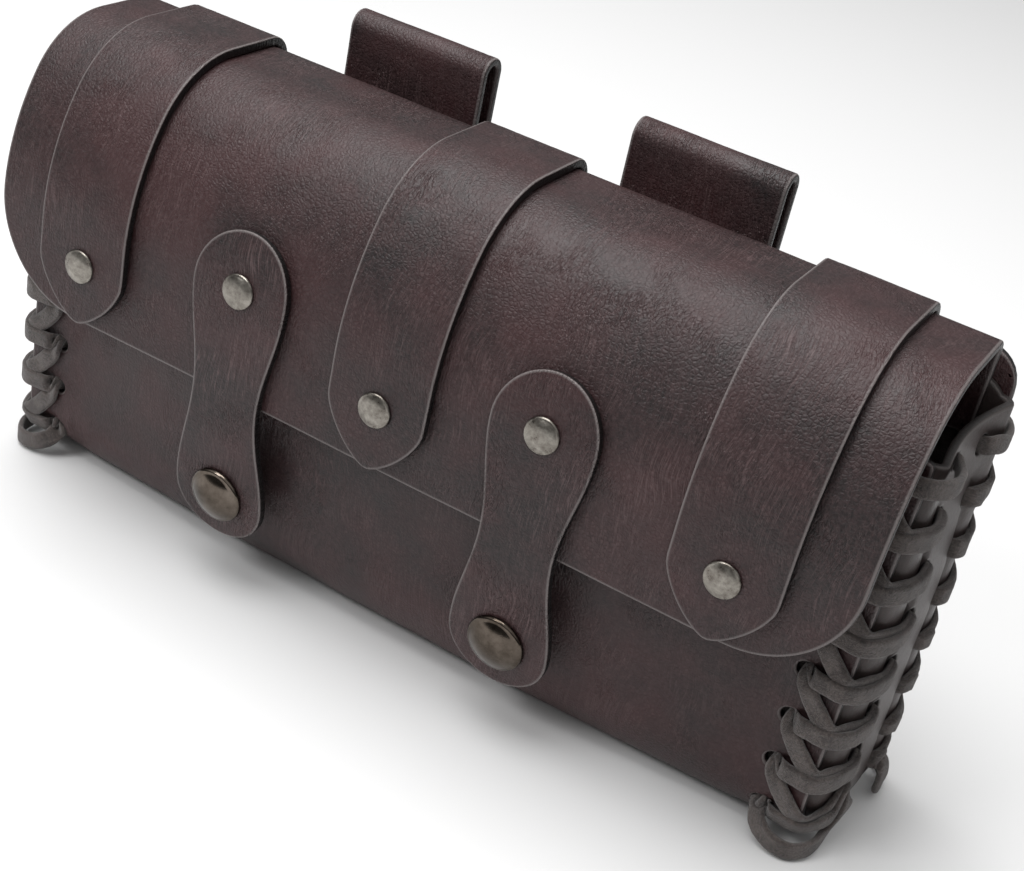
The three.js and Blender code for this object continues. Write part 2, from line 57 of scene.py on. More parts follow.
def toFrame(points):
    out = np.array(points, float) * mm
    out[:, 1] += backFace
    return out


def smoothStep(value, low, high):
    share = np.clip((value - low) / (high - low), 0, 1)
    return share * share * (3 - 2 * share)


def lerp(a, b, share):
    return a + (b - a) * share


# A folded line in the y-z plane: start is (y, z, heading), runs are (length, bend) pairs, and where
# counts runs, so 2.5 is half way along the third. Heading 0 goes forward and 90 degrees goes up.
def followRuns(start, runs, where):
    y, z, heading = (np.zeros(len(where)) + value for value in start)
    for number, (length, bend) in enumerate(runs):
        part = np.clip(where - number, 0, 1)
        turn = np.radians(bend) * part
        step = length * part * np.sinc(turn / (2 * np.pi))
        y = y - step * np.cos(heading + turn / 2)
        z = z + step * np.sin(heading + turn / 2)
        heading = heading + turn
    return y, z, heading


def runLengths(runs):
    return np.concatenate([[0], np.cumsum([run[0] for run in runs])])


def arcRun(radius, bend):
    return (radius * abs(math.radians(bend)), bend)


def placeOnLine(start, runs, uv, lift, centre=0.0):
    lengths = runLengths(runs)
    where = np.interp(uv[:, 0], lengths, np.arange(len(lengths)))
    y, z, heading = followRuns(start, runs, where)
    return np.column_stack([uv[:, 1] + centre, y + np.sin(heading) * lift, z + np.cos(heading) * lift])


# Sheets of leather from an outline in (u, v): u runs along the fold line, v across it

def evenLoop(points, step):
    points = np.asarray(points, float)
    closed = np.vstack([points, points[:1]])
    lengths = np.hypot(*np.diff(closed, axis=0).T)
    along = np.concatenate([[0], np.cumsum(lengths)])
    count = max(14, int(round(along[-1] / step)))
    at = np.linspace(0, along[-1], count, endpoint=False)
    loop = np.column_stack([np.interp(at, along, closed[:, i]) for i in (0, 1)])
    for _ in range(2):      # takes the sharpness off the corners
        loop = (np.roll(loop, 1, 0) + 2 * loop + np.roll(loop, -1, 0)) / 4
    return loop


def turnLoop(loop, wantLeft):
    x, y = loop.T
    area = np.sum(x * np.roll(y, -1) - np.roll(x, -1) * y)
    return loop if (area > 0) == wantLeft else loop[::-1]


def loopOut(loop):
    ahead = np.roll(loop, -1, 0) - np.roll(loop, 1, 0)
    out = np.column_stack([ahead[:, 1], -ahead[:, 0]])
    return out / np.linalg.norm(out, axis=1)[:, None]


def insideLoop(points, loop):
    x1, y1 = loop.T
    x2, y2 = np.roll(x1, -1), np.roll(y1, -1)
    slope = (x2 - x1) / np.where(np.abs(y2 - y1) < 1e-9, 1e-9, y2 - y1)
    found = np.zeros(len(points), bool)
    for first in range(0, len(points), 4000):
        x = points[first:first + 4000, :1]
        y = points[first:first + 4000, 1:]
        crossed = ((y1 > y) != (y2 > y)) & (x < slope * (y - y1) + x1)
        found[first:first + 4000] = crossed.sum(1) % 2 == 1
    return found


def nearestDistance(points, loops):
    tree = KDTree(sum(len(loop) for loop in loops))
    number = 0
    for loop in loops:
        for u, v in loop:
            tree.insert((u, v, 0), number)
            number += 1
    tree.balance()
    return np.array([tree.find((u, v, 0))[2] for u, v in points])


def scatterInside(loops, spacing, seed):
    low, high = loops[0].min(0), loops[0].max(0)
    rowStep = spacing * 0.866
    rows = int((high[0] - low[0]) / rowStep) + 2
    columns = int((high[1] - low[1]) / spacing) + 2
    shake = np.random.default_rng(seed)
    u, v = np.meshgrid(np.arange(rows), np.arange(columns), indexing="ij")
    points = np.column_stack([
        (low[0] + u * rowStep).ravel(),
        (low[1] + (v + 0.5 * (u % 2)) * spacing).ravel(),
    ])
    points += shake.uniform(-0.13, 0.13, points.shape) * spacing
    keep = insideLoop(points, loops[0])
    for hole in loops[1:]:
        keep &= ~insideLoop(points, hole)
    points = points[keep]
    return points[nearestDistance(points, loops) > spacing * 0.55]


def surfaceAt(place, uv, side):
    step = 0.05
    here = place(uv)
    alongU = place(uv + [step, 0]) - place(uv - [step, 0])
    alongV = place(uv + [0, step]) - place(uv - [0, step])
    normal = np.cross(alongU, alongV) * side
    return here, normal / np.linalg.norm(normal, axis=1)[:, None]


# The edge of a cut sheet: how far in from the outline each loop lies, and how deep, as shares of the
# edge radius. The last pair is the outline itself where the side wall starts.
edgeProfile = [(1.0, 0.0), (0.62, 0.08), (0.29, 0.29), (0.08, 0.62), (0.0, 1.0)]


def buildSheet(name, outline, holes, place, side, wall, look):
    step = look["step"]
    radius = look.get("edgeRadius", 0.6)
    loops = [turnLoop(evenLoop(outline, step), True)]
    loops += [turnLoop(evenLoop(hole, step * 0.5), False) for hole in holes]
    outs = [loopOut(loop) for loop in loops]
    insets = look.get("insets", (2.4, 1.4))

    def moved(distance, holeDistance):
        return [loop - out * (distance if i == 0 else holeDistance)
                for i, (loop, out) in enumerate(zip(loops, outs))]

    flatLoops = [moved(inset, radius + (inset - radius) * 0.4) for inset in insets]
    inner = flatLoops[0]
    points = scatterInside(inner, step * 1.15, look.get("seed", 1))

    uvs, depths, rims = [], [], []
    offsets = []
    total = 0

    def addRow(rowUv, depth, rim):
        nonlocal total
        uvs.append(rowUv)
        depths.append(np.full(len(rowUv), float(depth)))
        rims.append(np.full(len(rowUv), float(rim)))
        offsets.append(total)
        total += len(rowUv)
        return offsets[-1]

    # outer face: scattered points and the innermost loops
    faces = []
    cdtPoints = [Vector(p) for p in points]
    edges = []
    for loop in inner:
        first = len(cdtPoints)
        cdtPoints += [Vector(p) for p in loop]
        count = len(loop)
        edges += [(first + i, first + (i + 1) % count) for i in range(count)]
    verts, _, triangles, *_ = delaunay_2d_cdt(cdtPoints, edges, [], 0, 1e-7, False)
    flat = np.array([tuple(v) for v in verts])
    triangles = np.array([t for t in triangles if len(t) == 3])
    middles = flat[triangles].mean(1)
    keep = insideLoop(middles, inner[0])
    for hole in inner[1:]:
        keep &= ~insideLoop(middles, hole)
    triangles = triangles[keep]
    a, b, c = (flat[triangles[:, i]] for i in range(3))
    turned = (b[:, 0] - a[:, 0]) * (c[:, 1] - a[:, 1]) - (b[:, 1] - a[:, 1]) * (c[:, 0] - a[:, 0]) < 0
    triangles[turned] = triangles[turned][:, ::-1]
    outer = addRow(flat, 0, 0)
    faces += (triangles + outer).tolist()
    inside = addRow(flat, wall, 0)
    faces += (triangles[:, ::-1] + inside).tolist()

    # strips from the innermost loop of the outer face over the edge to that of the inner face
    starts = np.cumsum([len(points)] + [len(loop) for loop in inner])
    for number, loop in enumerate(loops):
        count = len(loop)
        chain = [outer + int(starts[number]) + np.arange(count)]
        steps = []
        for inset in insets[1:]:
            steps.append((inset if number == 0 else radius + (inset - radius) * 0.4, 0.0, 0.1))
        for inward, deep in edgeProfile:
            steps.append((inward * radius, deep * radius, 0.35 + 0.65 * deep))
        steps.append((0.0, wall / 2, 1.0))
        for inward, deep in reversed(edgeProfile):
            steps.append((inward * radius, wall - deep * radius, 0.35 + 0.65 * deep))
        for inset in reversed(insets[1:]):
            steps.append((inset if number == 0 else radius + (inset - radius) * 0.4, wall, 0.1))
        for inward, deep, rim in steps:
            chain.append(addRow(loop - outs[number] * inward, deep, rim) + np.arange(count))
        chain.append(inside + int(starts[number]) + np.arange(count))
        for near, far in zip(chain, chain[1:]):
            near2, far2 = np.roll(near, -1), np.roll(far, -1)
            faces += np.column_stack([near, far, far2, near2]).tolist()

    uv = np.vstack(uvs)
    depth = np.concatenate(depths)
    rim = np.concatenate(rims)
    here, normal = surfaceAt(place, uv, side)
    relief = look["relief"](here, uv) * np.clip(1 - depth / wall, 0, 1)
    points3 = here - normal * depth[:, None] + normal * relief[:, None]
    if side < 0:
        faces = [face[::-1] for face in faces]
    mesh = bpy.data.meshes.new(name)
    mesh.from_pydata(toFrame(points3).tolist(), [], faces)
    mesh.update()
    fold = mesh.uv_layers.new(name="fold")
    corners = np.empty(len(mesh.loops), np.int32)
    mesh.loops.foreach_get("vertex_index", corners)
    fold.data.foreach_set("uv", (uv[corners] * mm).astype(np.float32).ravel())
    # edgeWearAndSheen holds where each point lies across the cut edge; the leather material paints the light arris line
    # from it, partly the burnished edge's own colour and partly a painted highlight, and also the near-black cut side
    # wall
    wearAndSheen = mesh.attributes.new("edgeWearAndSheen", "FLOAT", "POINT")
    wearAndSheen.data.foreach_set("value", rim.astype(np.float32))
    mesh.shade_smooth()
    piece = bpy.data.objects.new(name, mesh)
    bpy.context.scene.collection.objects.link(piece)
    mesh.materials.append(look["material"])
    return piece


def noiseAt(points, size, seed=0.0):
    return np.array([noise.noise(Vector((x / size + seed, y / size - seed, z / size + 2 * seed))) for x, y, z in points])


def ringHole(u, v, radius):
    angles = np.linspace(0, 2 * np.pi, 28, endpoint=False)
    return np.column_stack([u + radius * np.cos(angles), v + radius * np.sin(angles)])


def outlineFromWidth(stops, widthAt):
    widths = np.array([widthAt(stop) for stop in stops])
    right = np.column_stack([stops, widths])
    left = np.column_stack([stops, -widths])[::-1]
    return np.vstack([right, left])


# Materials

def newMaterial(name):
    material = bpy.data.materials.new(name)
    material.use_nodes = True
    tree = material.node_tree
    tree.nodes.clear()
    out = tree.nodes.new("ShaderNodeOutputMaterial")
    shader = tree.nodes.new("ShaderNodeBsdfPrincipled")
    tree.links.new(shader.outputs[0], out.inputs[0])
    return material, tree, shader


def addNode(tree, kind, links=None, **values):
    node = tree.nodes.new("ShaderNode" + kind)
    for key, value in values.items():
        if key in node.bl_rna.properties:
            setattr(node, key, value)
        else:
            node.inputs[key.replace("_", " ")].default_value = value
    for key, socket in (links or {}).items():
        tree.links.new(socket, node.inputs[key])
    return node


def addRamp(tree, source, stops):
    ramp = addNode(tree, "ValToRGB", {"Fac": source})
    elements = ramp.color_ramp.elements
    while len(elements) < len(stops):
        elements.new(0.5)
    for element, (at, value) in zip(elements, stops):
        element.position = at
        element.color = (value, value, value, 1) if isinstance(value, float) else (*value, 1)
    return ramp.outputs["Color"]


def mixColour(tree, factor, a, b, mode="MIX"):
    node = tree.nodes.new("ShaderNodeMix")
    node.data_type = "RGBA"
    node.blend_type = mode
    for socket, value in ((node.inputs[0], factor), (node.inputs[6], a), (node.inputs[7], b)):
        if isinstance(value, (float, int)):
            socket.default_value = value
        elif isinstance(value, tuple):
            socket.default_value = (*value, 1)
        else:
            tree.links.new(value, socket)
    return node.outputs[2]


def mathNode(tree, operation, a, b=None, c=None):
    node = tree.nodes.new("ShaderNodeMath")
    node.operation = operation
    for socket, value in zip(node.inputs, (a, b, c)):
        if value is None:
            continue
        if isinstance(value, (float, int)):
            socket.default_value = value
        else:
            tree.links.new(value, socket)
    return node.outputs[0]


def leatherMaterial(name, look):
    material, tree, shader = newMaterial(name)
    place = addNode(tree, "TexCoord").outputs["Object"]
    fold = addNode(tree, "UVMap", uv_map="fold").outputs[0]

    def warped(source, scale, amount):
        swirl = addNode(tree, "TexNoise", {"Vector": source}, Scale=scale, Detail=2.0)
        lean = addNode(tree, "VectorMath", {0: swirl.outputs["Color"]}, operation="SUBTRACT")
        lean.inputs[1].default_value = (0.5, 0.5, 0.5)
        push = addNode(tree, "VectorMath", {0: lean.outputs[0]}, operation="SCALE")
        push.inputs["Scale"].default_value = amount
        return addNode(tree, "VectorMath", {0: source, 1: push.outputs[0]}, operation="ADD").outputs[0]

    # fine light scratches: thin ridges of a noise drawn out along one direction of the sheet
    def scratches(turn, stretch, width, seed):
        bent = warped(fold, look["warpScale"], look["warp"])
        laid = addNode(tree, "Mapping", {"Vector": bent})
        laid.inputs["Rotation"].default_value = (0, 0, math.radians(turn))
        laid.inputs["Scale"].default_value = stretch
        laid.inputs["Location"].default_value = (seed, seed, 0)
        streak = addNode(tree, "TexNoise", {"Vector": laid.outputs[0]}, Scale=1.0, Detail=2.0, Roughness=0.6)
        away = mathNode(tree, "ABSOLUTE", mathNode(tree, "SUBTRACT", streak.outputs["Fac"], 0.5))
        line = addRamp(tree, away, [(0.0, 1.0), (width, 0.0)])
        where = addNode(tree, "TexNoise", {"Vector": place}, Scale=look["patchScale"] + seed * 7, Detail=1.0)
        return mathNode(tree, "MULTIPLY", line, addRamp(tree, where.outputs["Fac"], [(0.46, 0.0), (0.66, 1.0)]))

    mottle = addNode(tree, "TexNoise", {"Vector": place}, Scale=look["mottleScale"], Detail=6.0, Roughness=0.65)
    cloud = addNode(tree, "TexNoise", {"Vector": place}, Scale=look["cloudScale"], Detail=2.0)
    grain = addNode(tree, "TexVoronoi", {"Vector": warped(place, 90.0, 0.002)}, feature="DISTANCE_TO_EDGE",
                    Scale=look["grainScale"])
    fine = addNode(tree, "TexNoise", {"Vector": place}, Scale=look["fineScale"], Detail=4.0, Roughness=0.7)
    downward = scratches(look["scratchTurn"], (48.0, 1050.0, 1.0), 0.03, 1.3)
    slanted = scratches(look["scratchTurn"] + 38, (60.0, 1000.0, 1.0), 0.025, 2.9)
    wrinkles = scratches(look["scratchTurn"] - 12, (300.0, 820.0, 1.0), 0.07, 5.1)
    marks = mathNode(tree, "ADD", downward, mathNode(tree, "MULTIPLY", slanted, 0.8))
    marks = mathNode(tree, "MINIMUM", mathNode(tree, "MULTIPLY_ADD", wrinkles, 0.5, marks), 1.0)

    redness = addRamp(tree, mathNode(tree, "MULTIPLY_ADD", cloud.outputs["Fac"], 0.5,
                                     mathNode(tree, "MULTIPLY", mottle.outputs["Fac"], 0.5)), [(0.4, 0.0), (0.6, 1.0)])
    colour = mixColour(tree, redness, look["dark"], look["red"])
    speck = addRamp(tree, fine.outputs["Fac"], [(0.4, 0.0), (0.7, 1.0)])
    colour = mixColour(tree, mathNode(tree, "MULTIPLY", speck, look["speck"]), colour, look["speckColour"])
    colour = mixColour(tree, mathNode(tree, "MULTIPLY", marks, look["scratchTint"]), colour, look["scratchColour"])
    crests = addRamp(tree, grain.outputs["Distance"], [(0.16, 0.0), (0.42, 1.0)])
    crests = mathNode(tree, "MULTIPLY", crests, addRamp(tree, mottle.outputs["Fac"], [(0.46, 0.0), (0.62, 1.0)]))
    colour = mixColour(tree, mathNode(tree, "MULTIPLY", crests, look["crestTint"]), colour, look["scratchColour"])
    # a light line along the arris: partly the burnished edge's own colour, partly a painted highlight that stands in
    # for glints on the edges and hole rims; the cut side wall below it is painted near black
    wearAndSheen = addNode(tree, "Attribute", attribute_name="edgeWearAndSheen").outputs["Fac"]
    arris = addRamp(tree, wearAndSheen, [(0.27, 0.0), (0.38, 0.9), (0.52, 1.0), (0.70, 0.0)])
    burnishAndSheen = mathNode(tree, "MULTIPLY", arris, look["edgeTint"])
    colour = mixColour(tree, addRamp(tree, wearAndSheen, [(0.6, 0.0), (0.9, 1.0)]), colour, look["cutColour"])
    colour = mixColour(tree, burnishAndSheen, colour, look["edgeColour"])
    tree.links.new(colour, shader.inputs["Base Color"])

    rough = mathNode(tree, "MULTIPLY_ADD", mottle.outputs["Fac"], look["roughSpread"], look["rough"] - look["roughSpread"] / 2)
    tree.links.new(rough, shader.inputs["Roughness"])
    shader.inputs["Specular IOR Level"].default_value = look["specular"]

    cells = addRamp(tree, grain.outputs["Distance"], [(0.0, 0.0), (0.28, 1.0)])
    height = mathNode(tree, "MULTIPLY", cells, look["grainHeight"])
    height = mathNode(tree, "MULTIPLY_ADD", marks, look["scratchHeight"], height)
    height = mathNode(tree, "MULTIPLY_ADD", wrinkles, -look["wrinkleHeight"], height)
    height = mathNode(tree, "MULTIPLY_ADD", fine.outputs["Fac"], look["fineHeight"], height)
    bump = addNode(tree, "Bump", {"Height": height}, Strength=1.0, Distance=0.001)
    tree.links.new(bump.outputs[0], shader.inputs["Normal"])
    return material


leatherLook = {
    "warpScale": 28.0, "warp": 0.012, "mottleScale": 60.0, "cloudScale": 24.0, "patchScale": 34.0,
    "grainScale": 980.0, "grainHeight": 0.06, "crestTint": 0.22, "fineHeight": 0.10, "fineScale": 1000.0,
    "scratchTurn": 0.0, "scratchHeight": 0.05, "wrinkleHeight": 0.16, "scratchTint": 0.34,
    "scratchColour": (0.150, 0.098, 0.098),
    "dark": (0.0120, 0.0080, 0.0082), "red": (0.0350, 0.0120, 0.0126),
    "speck": 0.5, "speckColour": (0.062, 0.036, 0.037),
    # edgeColour and edgeTint paint the light arris line: partly burnished edge colour, partly painted highlight
    "edgeColour": (0.170, 0.150, 0.147), "edgeTint": 0.85, "cutColour": (0.006, 0.005, 0.005),
    "rough": 0.44, "roughSpread": 0.2, "specular": 0.37,
}
bodyLeather = leatherMaterial("bodyLeather", leatherLook)
strapLeather = leatherMaterial("strapLeather", leatherLook | {"mottleScale": 66.0, "scratchTurn": 6.0, "patchScale": 41.0})
tabLeather = leatherMaterial("tabLeather", leatherLook | {
    "mottleScale": 70.0, "scratchTurn": -38.0, "patchScale": 30.0, "wrinkleHeight": 0.34, "scratchTint": 0.5,
})
gussetLeather = leatherMaterial("gussetLeather", leatherLook | {
    "dark": (0.036, 0.030, 0.028), "red": (0.055, 0.044, 0.041), "scratchTint": 0.12, "wrinkleHeight": 0.02,
    "edgeColour": (0.10, 0.09, 0.086), "cutColour": (0.03, 0.026, 0.025), "rough": 0.42,
    "grainHeight": 0.02, "crestTint": 0.1,
})


def suedeMaterial():
    look = {"dark": (0.013, 0.010, 0.0095), "light": (0.150, 0.122, 0.112), "nap": 1700.0, "patch": 260.0}
    material, tree, shader = newMaterial("suedeLace")
    place = addNode(tree, "TexCoord").outputs["Object"]
    nap = addNode(tree, "TexNoise", {"Vector": place}, Scale=look["nap"], Detail=6.0, Roughness=0.8)
    patch = addNode(tree, "TexNoise", {"Vector": place}, Scale=look["patch"], Detail=3.0)
    both = mathNode(tree, "MULTIPLY_ADD", nap.outputs["Fac"], 0.7, mathNode(tree, "MULTIPLY", patch.outputs["Fac"], 0.3))
    shade = addRamp(tree, both, [(0.36, 0.0), (0.66, 1.0)])
    tree.links.new(mixColour(tree, shade, look["dark"], look["light"]), shader.inputs["Base Color"])
    shader.inputs["Roughness"].default_value = 0.95
    shader.inputs["Specular IOR Level"].default_value = 0.25
    shader.inputs["Sheen Weight"].default_value = 0.35
    shader.inputs["Sheen Roughness"].default_value = 0.5
    bump = addNode(tree, "Bump", {"Height": nap.outputs["Fac"]}, Strength=1.0, Distance=0.0005)
    tree.links.new(bump.outputs[0], shader.inputs["Normal"])
    return material


def metalMaterial(name, look):
    material, tree, shader = newMaterial(name)
    place = addNode(tree, "TexCoord").outputs["Object"]
    stain = addNode(tree, "TexNoise", {"Vector": place}, Scale=look["stainScale"], Detail=5.0, Roughness=0.7)
    scratch = addNode(tree, "TexNoise", {"Vector": place}, Scale=2600.0, Detail=4.0)
    shade = addRamp(tree, stain.outputs["Fac"], [(0.35, 0.0), (0.7, 1.0)])
    tree.links.new(mixColour(tree, shade, look["dark"], look["light"]), shader.inputs["Base Color"])
    shader.inputs["Metallic"].default_value = 1.0
    rough = mathNode(tree, "MULTIPLY_ADD", stain.outputs["Fac"], look["roughSpread"], look["rough"])
    tree.links.new(rough, shader.inputs["Roughness"])
    bump = addNode(tree, "Bump", {"Height": scratch.outputs["Fac"]}, Strength=look["bump"], Distance=0.0001)
    tree.links.new(bump.outputs[0], shader.inputs["Normal"])
    return material


suedeLace = suedeMaterial()
rivetNickel = metalMaterial("rivetNickel", {
    "dark": (0.13, 0.115, 0.10), "light": (0.34, 0.32, 0.285), "stainScale": 420.0,
    "rough": 0.16, "roughSpread": 0.3, "bump": 0.35,
})
# the snap caps' dark brown base colours are a painted reflection: they stand in for the dark, brownish surroundings
# that the polished caps mirror
snapChrome = metalMaterial("snapChrome", {
    "dark": (0.060, 0.048, 0.038), "light": (0.15, 0.125, 0.105), "stainScale": 200.0,
    "rough": 0.06, "roughSpread": 0.12, "bump": 0.1,
})
print("materials made")


def dress(piece, slot, *nodes):
    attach(piece, "root")
    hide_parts(*nodes)
    return piece


# Body panel

body = {
    "frontHalf": 119.0, "backHalf": 123.5, "middleDepth": 53.0, "endDepth": 42.3, "bulgeFrom": 40.0, "bulgeTo": 112.0,
    "kneeHeight": 75.5, "backHeight": 120.4, "backCorner": 9.0, "frontLean": 4.4, "topLength": 32.0,
    "topBend": 48.0, "topBendEnd": 8.0, "belly": 30.0, "bellyEnd": 16.0, "rest": 10.0, "restEnd": 13.0,
    "bellyBend": 50.0, "backFold": 12.0, "endRise": 1.6, "endRiseLength": 24.0,
    "holeRadius": 2.0, "holeInset": 10.4, "holeRows": 8, "holePitch": 13.2, "holeLowest": 10.0,
}


def bodyRuns(x):
    away = np.abs(x)
    share = smoothStep(away, body["bulgeFrom"], body["bulgeTo"])
    lean = lerp(body["frontLean"], 0, share)
    belly = lerp(body["belly"], body["bellyEnd"], share)
    rest = lerp(body["rest"], body["restEnd"], share)
    bottom = body["endRise"] * smoothStep(away, body["frontHalf"] - body["endRiseLength"], body["frontHalf"])
    past = np.clip(away - (body["backHalf"] - body["backCorner"]), 0, body["backCorner"])
    top = body["backHeight"] - body["backCorner"] + np.sqrt(body["backCorner"] ** 2 - past ** 2)
    low = math.radians(90 - body["bellyBend"])
    high = np.radians(90 - lean)
    rise = rest * (1 - math.cos(low)) + belly * (math.cos(low) - np.cos(high))
    reach = rest * math.sin(low) + belly * (np.sin(high) - math.sin(low))
    frontLength = (body["kneeHeight"] - bottom - rise) / np.sin(high)
    depth = lerp(body["middleDepth"], body["endDepth"], share)
    fold = body["backFold"]
    runs = [
        (top - bottom - fold, 0.0),
        (fold * math.pi / 2, 90.0),
        (depth - fold - reach - frontLength * np.cos(high), 0.0),
        (rest * low, 90 - body["bellyBend"]),
        (belly * np.radians(body["bellyBend"] - lean), body["bellyBend"] - lean),
        (frontLength, 0.0),
        (body["topLength"], lerp(body["topBend"], body["topBendEnd"], share)),
    ]
    return (0.0, top, math.radians(-90)), runs


def bodyLine(x, where):
    start, runs = bodyRuns(x)
    return followRuns(start, runs, where)


endSection = bodyRuns(np.array([body["frontHalf"]]))
nominalLengths = runLengths([(float(np.asarray(length).flat[0]), 0) for length, _ in endSection[1]])


def edgeX(y):
    return lerp(body["backHalf"], body["frontHalf"], np.clip(-y / body["endDepth"], 0, 1))


def placeOnBody(uv):
    where = np.interp(uv[:, 0], nominalLengths, np.arange(8))
    endY, _, _ = bodyLine(np.full(len(uv), body["frontHalf"]), where)
    x = uv[:, 1] / body["frontHalf"] * edgeX(endY)
    y, z, _ = bodyLine(x, where)
    return np.column_stack([x, y, z])


# (u, v) on the panel of a point at x and height z, on the front or on the back
def findOnBody(x, z, onFront):
    u = np.linspace(nominalLengths[3], nominalLengths[-1], 900) if onFront else np.linspace(nominalLengths[1], 0, 900)
    v = np.full(len(u), float(x))
    for _ in range(3):
        found = placeOnBody(np.column_stack([u, v]))
        v = v * x / found[:, 0]
    at = np.interp(z, found[:, 2], u)
    return at, float(np.interp(z, found[:, 2], v))


holeHeights = [body["holeLowest"] + k * body["holePitch"] for k in range(body["holeRows"])]
frontHoleX = body["frontHalf"] - body["holeInset"]
backHoleX = body["backHalf"] - body["holeInset"]
bottomU = (nominalLengths[2] + nominalLengths[3]) / 2
frontHoles = {side: [findOnBody(side * frontHoleX, z, True) for z in holeHeights] for side in (-1, 1)}
backLowest = body["backFold"] + body["endRise"]
backHoles = {side: [findOnBody(side * backHoleX, max(z, backLowest), False) for z in holeHeights] for side in (-1, 1)}
bottomHoles = {side: (bottomU, side * frontHoleX) for side in (-1, 1)}
bodyHoles = [ringHole(u, v, body["holeRadius"]) for side in (-1, 1)
             for u, v in frontHoles[side] + backHoles[side] + [bottomHoles[side]]]
frontHoleList = np.array([frontHoles[side][k] for side in (-1, 1) for k in range(body["holeRows"])])


def bodyRelief(points, uv):
    height = 0.22 * noiseAt(points, 38.0, 3.1) + 0.07 * noiseAt(points, 11.0, 5.2)
    for u, v in frontHoleList:
        across = (uv[:, 1] - v) * np.sign(v)
        along = uv[:, 0] - u
        reach = np.hypot(across, along)
        height = height - 0.75 * np.exp(-(np.hypot(across - 2.6, along) / 2.2) ** 2)
        height = height + 0.35 * np.exp(-((reach - 3.0) / 0.9) ** 2) * (across < 0.5)
    resting = smoothStep(points[:, 2], 0.0, 6.0)
    return height * resting


bodyLength = nominalLengths[-1]
bodyOutline = [(0, -119), (0, 119), (bodyLength, 119), (bodyLength, -119)]
bodyPanel = buildSheet("bodyPanel", bodyOutline, bodyHoles, placeOnBody, -1, leatherSizes["panel"], {
    "step": 1.25, "relief": bodyRelief, "material": bodyLeather, "seed": 4,
})
dress(bodyPanel, "body_leather", "body_panel")
print("body panel made", len(bodyPanel.data.polygons))


# Flap

flap = {
    "half": 118.4, "corner": 26.0, "inside": 20.0, "rearRadius": 4.5, "rearHeight": 120.3, "top": 16.2, "topFall": 0.5,
    "shoulder": 26.0, "shoulderBend": 58.0, "front": 62.0, "frontLean": 1.0, "fall": 24.5,
}
flapStart = (-(leatherSizes["panel"] + leatherSizes["strap"] + 2 * gap), flap["rearHeight"] - flap["inside"], math.radians(90))
flapRuns = [
    (flap["inside"], 0.0),
    arcRun(flap["rearRadius"], -90 - flap["topFall"]),
    (flap["top"], 0.0),
    arcRun(flap["shoulder"], flap["topFall"] - flap["shoulderBend"]),
    arcRun(flap["front"], -(90 - flap["shoulderBend"] - flap["frontLean"])),
    (flap["fall"], 0.0),
]
flapLength = runLengths(flapRuns)[-1]


def flapWidth(u):
    past = min(max(flap["corner"] - (flapLength - u), 0), flap["corner"])
    return flap["half"] - flap["corner"] + math.sqrt(flap["corner"] ** 2 - past ** 2)


def flapRelief(points, uv):
    free = smoothStep(uv[:, 0], 28.0, 60.0)
    return (0.2 * noiseAt(points, 34.0, 1.7) + 0.06 * noiseAt(points, 12.0, 9.2)) * (0.35 + 0.65 * free)


roundStops = np.sin(np.linspace(0, np.pi / 2, 40))
flapStops = np.concatenate([np.linspace(0, flapLength - flap["corner"], 60)[:-1], flapLength - flap["corner"] + flap["corner"] * roundStops])
flapPiece = buildSheet("flapSheet", outlineFromWidth(flapStops, flapWidth), [], lambda uv: placeOnLine(flapStart, flapRuns, uv, 0.0),
                       1, leatherSizes["panel"], {"step": 1.25, "relief": flapRelief, "material": bodyLeather, "seed": 7})
dress(flapPiece, "body_leather", "flap")
print("flap made", len(flapPiece.data.polygons))


# Straps

strap = {
    "half": 13.4, "spread": 89.4, "tipLength": 15.0, "tipRoundness": 1.45, "tipAboveHem": 0.6, "aboveFlapEnd": 2.0,
    "rivetFromTip": 16.0, "rearRivetFromEnd": 7.0,
}
strapStart, strapEnd = strap["aboveFlapEnd"], flapLength - strap["tipAboveHem"]


def strapWidth(u):
    past = min(max(1 - (strapEnd - u) / strap["tipLength"], 0), 1)
    power = strap["tipRoundness"]
    return strap["half"] * (1 - past ** power) ** (1 / power)


def strapRelief(points, uv):
    return 0.09 * noiseAt(points, 19.0, 4.4) + 0.04 * noiseAt(points, 8.0, 2.9)


strapCentres = {"left": -strap["spread"], "middle": 0.0, "right": strap["spread"]}
strapStops = np.concatenate([
    np.linspace(strapStart, strapEnd - strap["tipLength"], 80)[:-1],
    strapEnd - strap["tipLength"] + strap["tipLength"] * roundStops,
])
for strapName, centre in strapCentres.items():
    piece = buildSheet(
        "strap_" + strapName, outlineFromWidth(strapStops, strapWidth), [],
        lambda uv, centre=centre: placeOnLine(flapStart, flapRuns, uv, gap + leatherSizes["strap"], centre),
        1, leatherSizes["strap"], {"step": 0.9, "relief": strapRelief, "material": strapLeather, "seed": 11, "edgeRadius": 0.45},
    )
    piece.name = "strapSheet_" + strapName
    dress(piece, "strap_leather", "strap_" + strapName)
print("straps made")


# Closing tabs

tab = {
    "spread": 41.7, "lobe": 13.5, "waist": 9.8, "length": 84.5, "rivetFromTop": 14.2, "snapFromBottom": 12.9,
    "topAboveHem": 43.4, "bendRadius": 110.0, "curlRadius": 90.0, "curl": 7.0, "inward": 3.0,
}


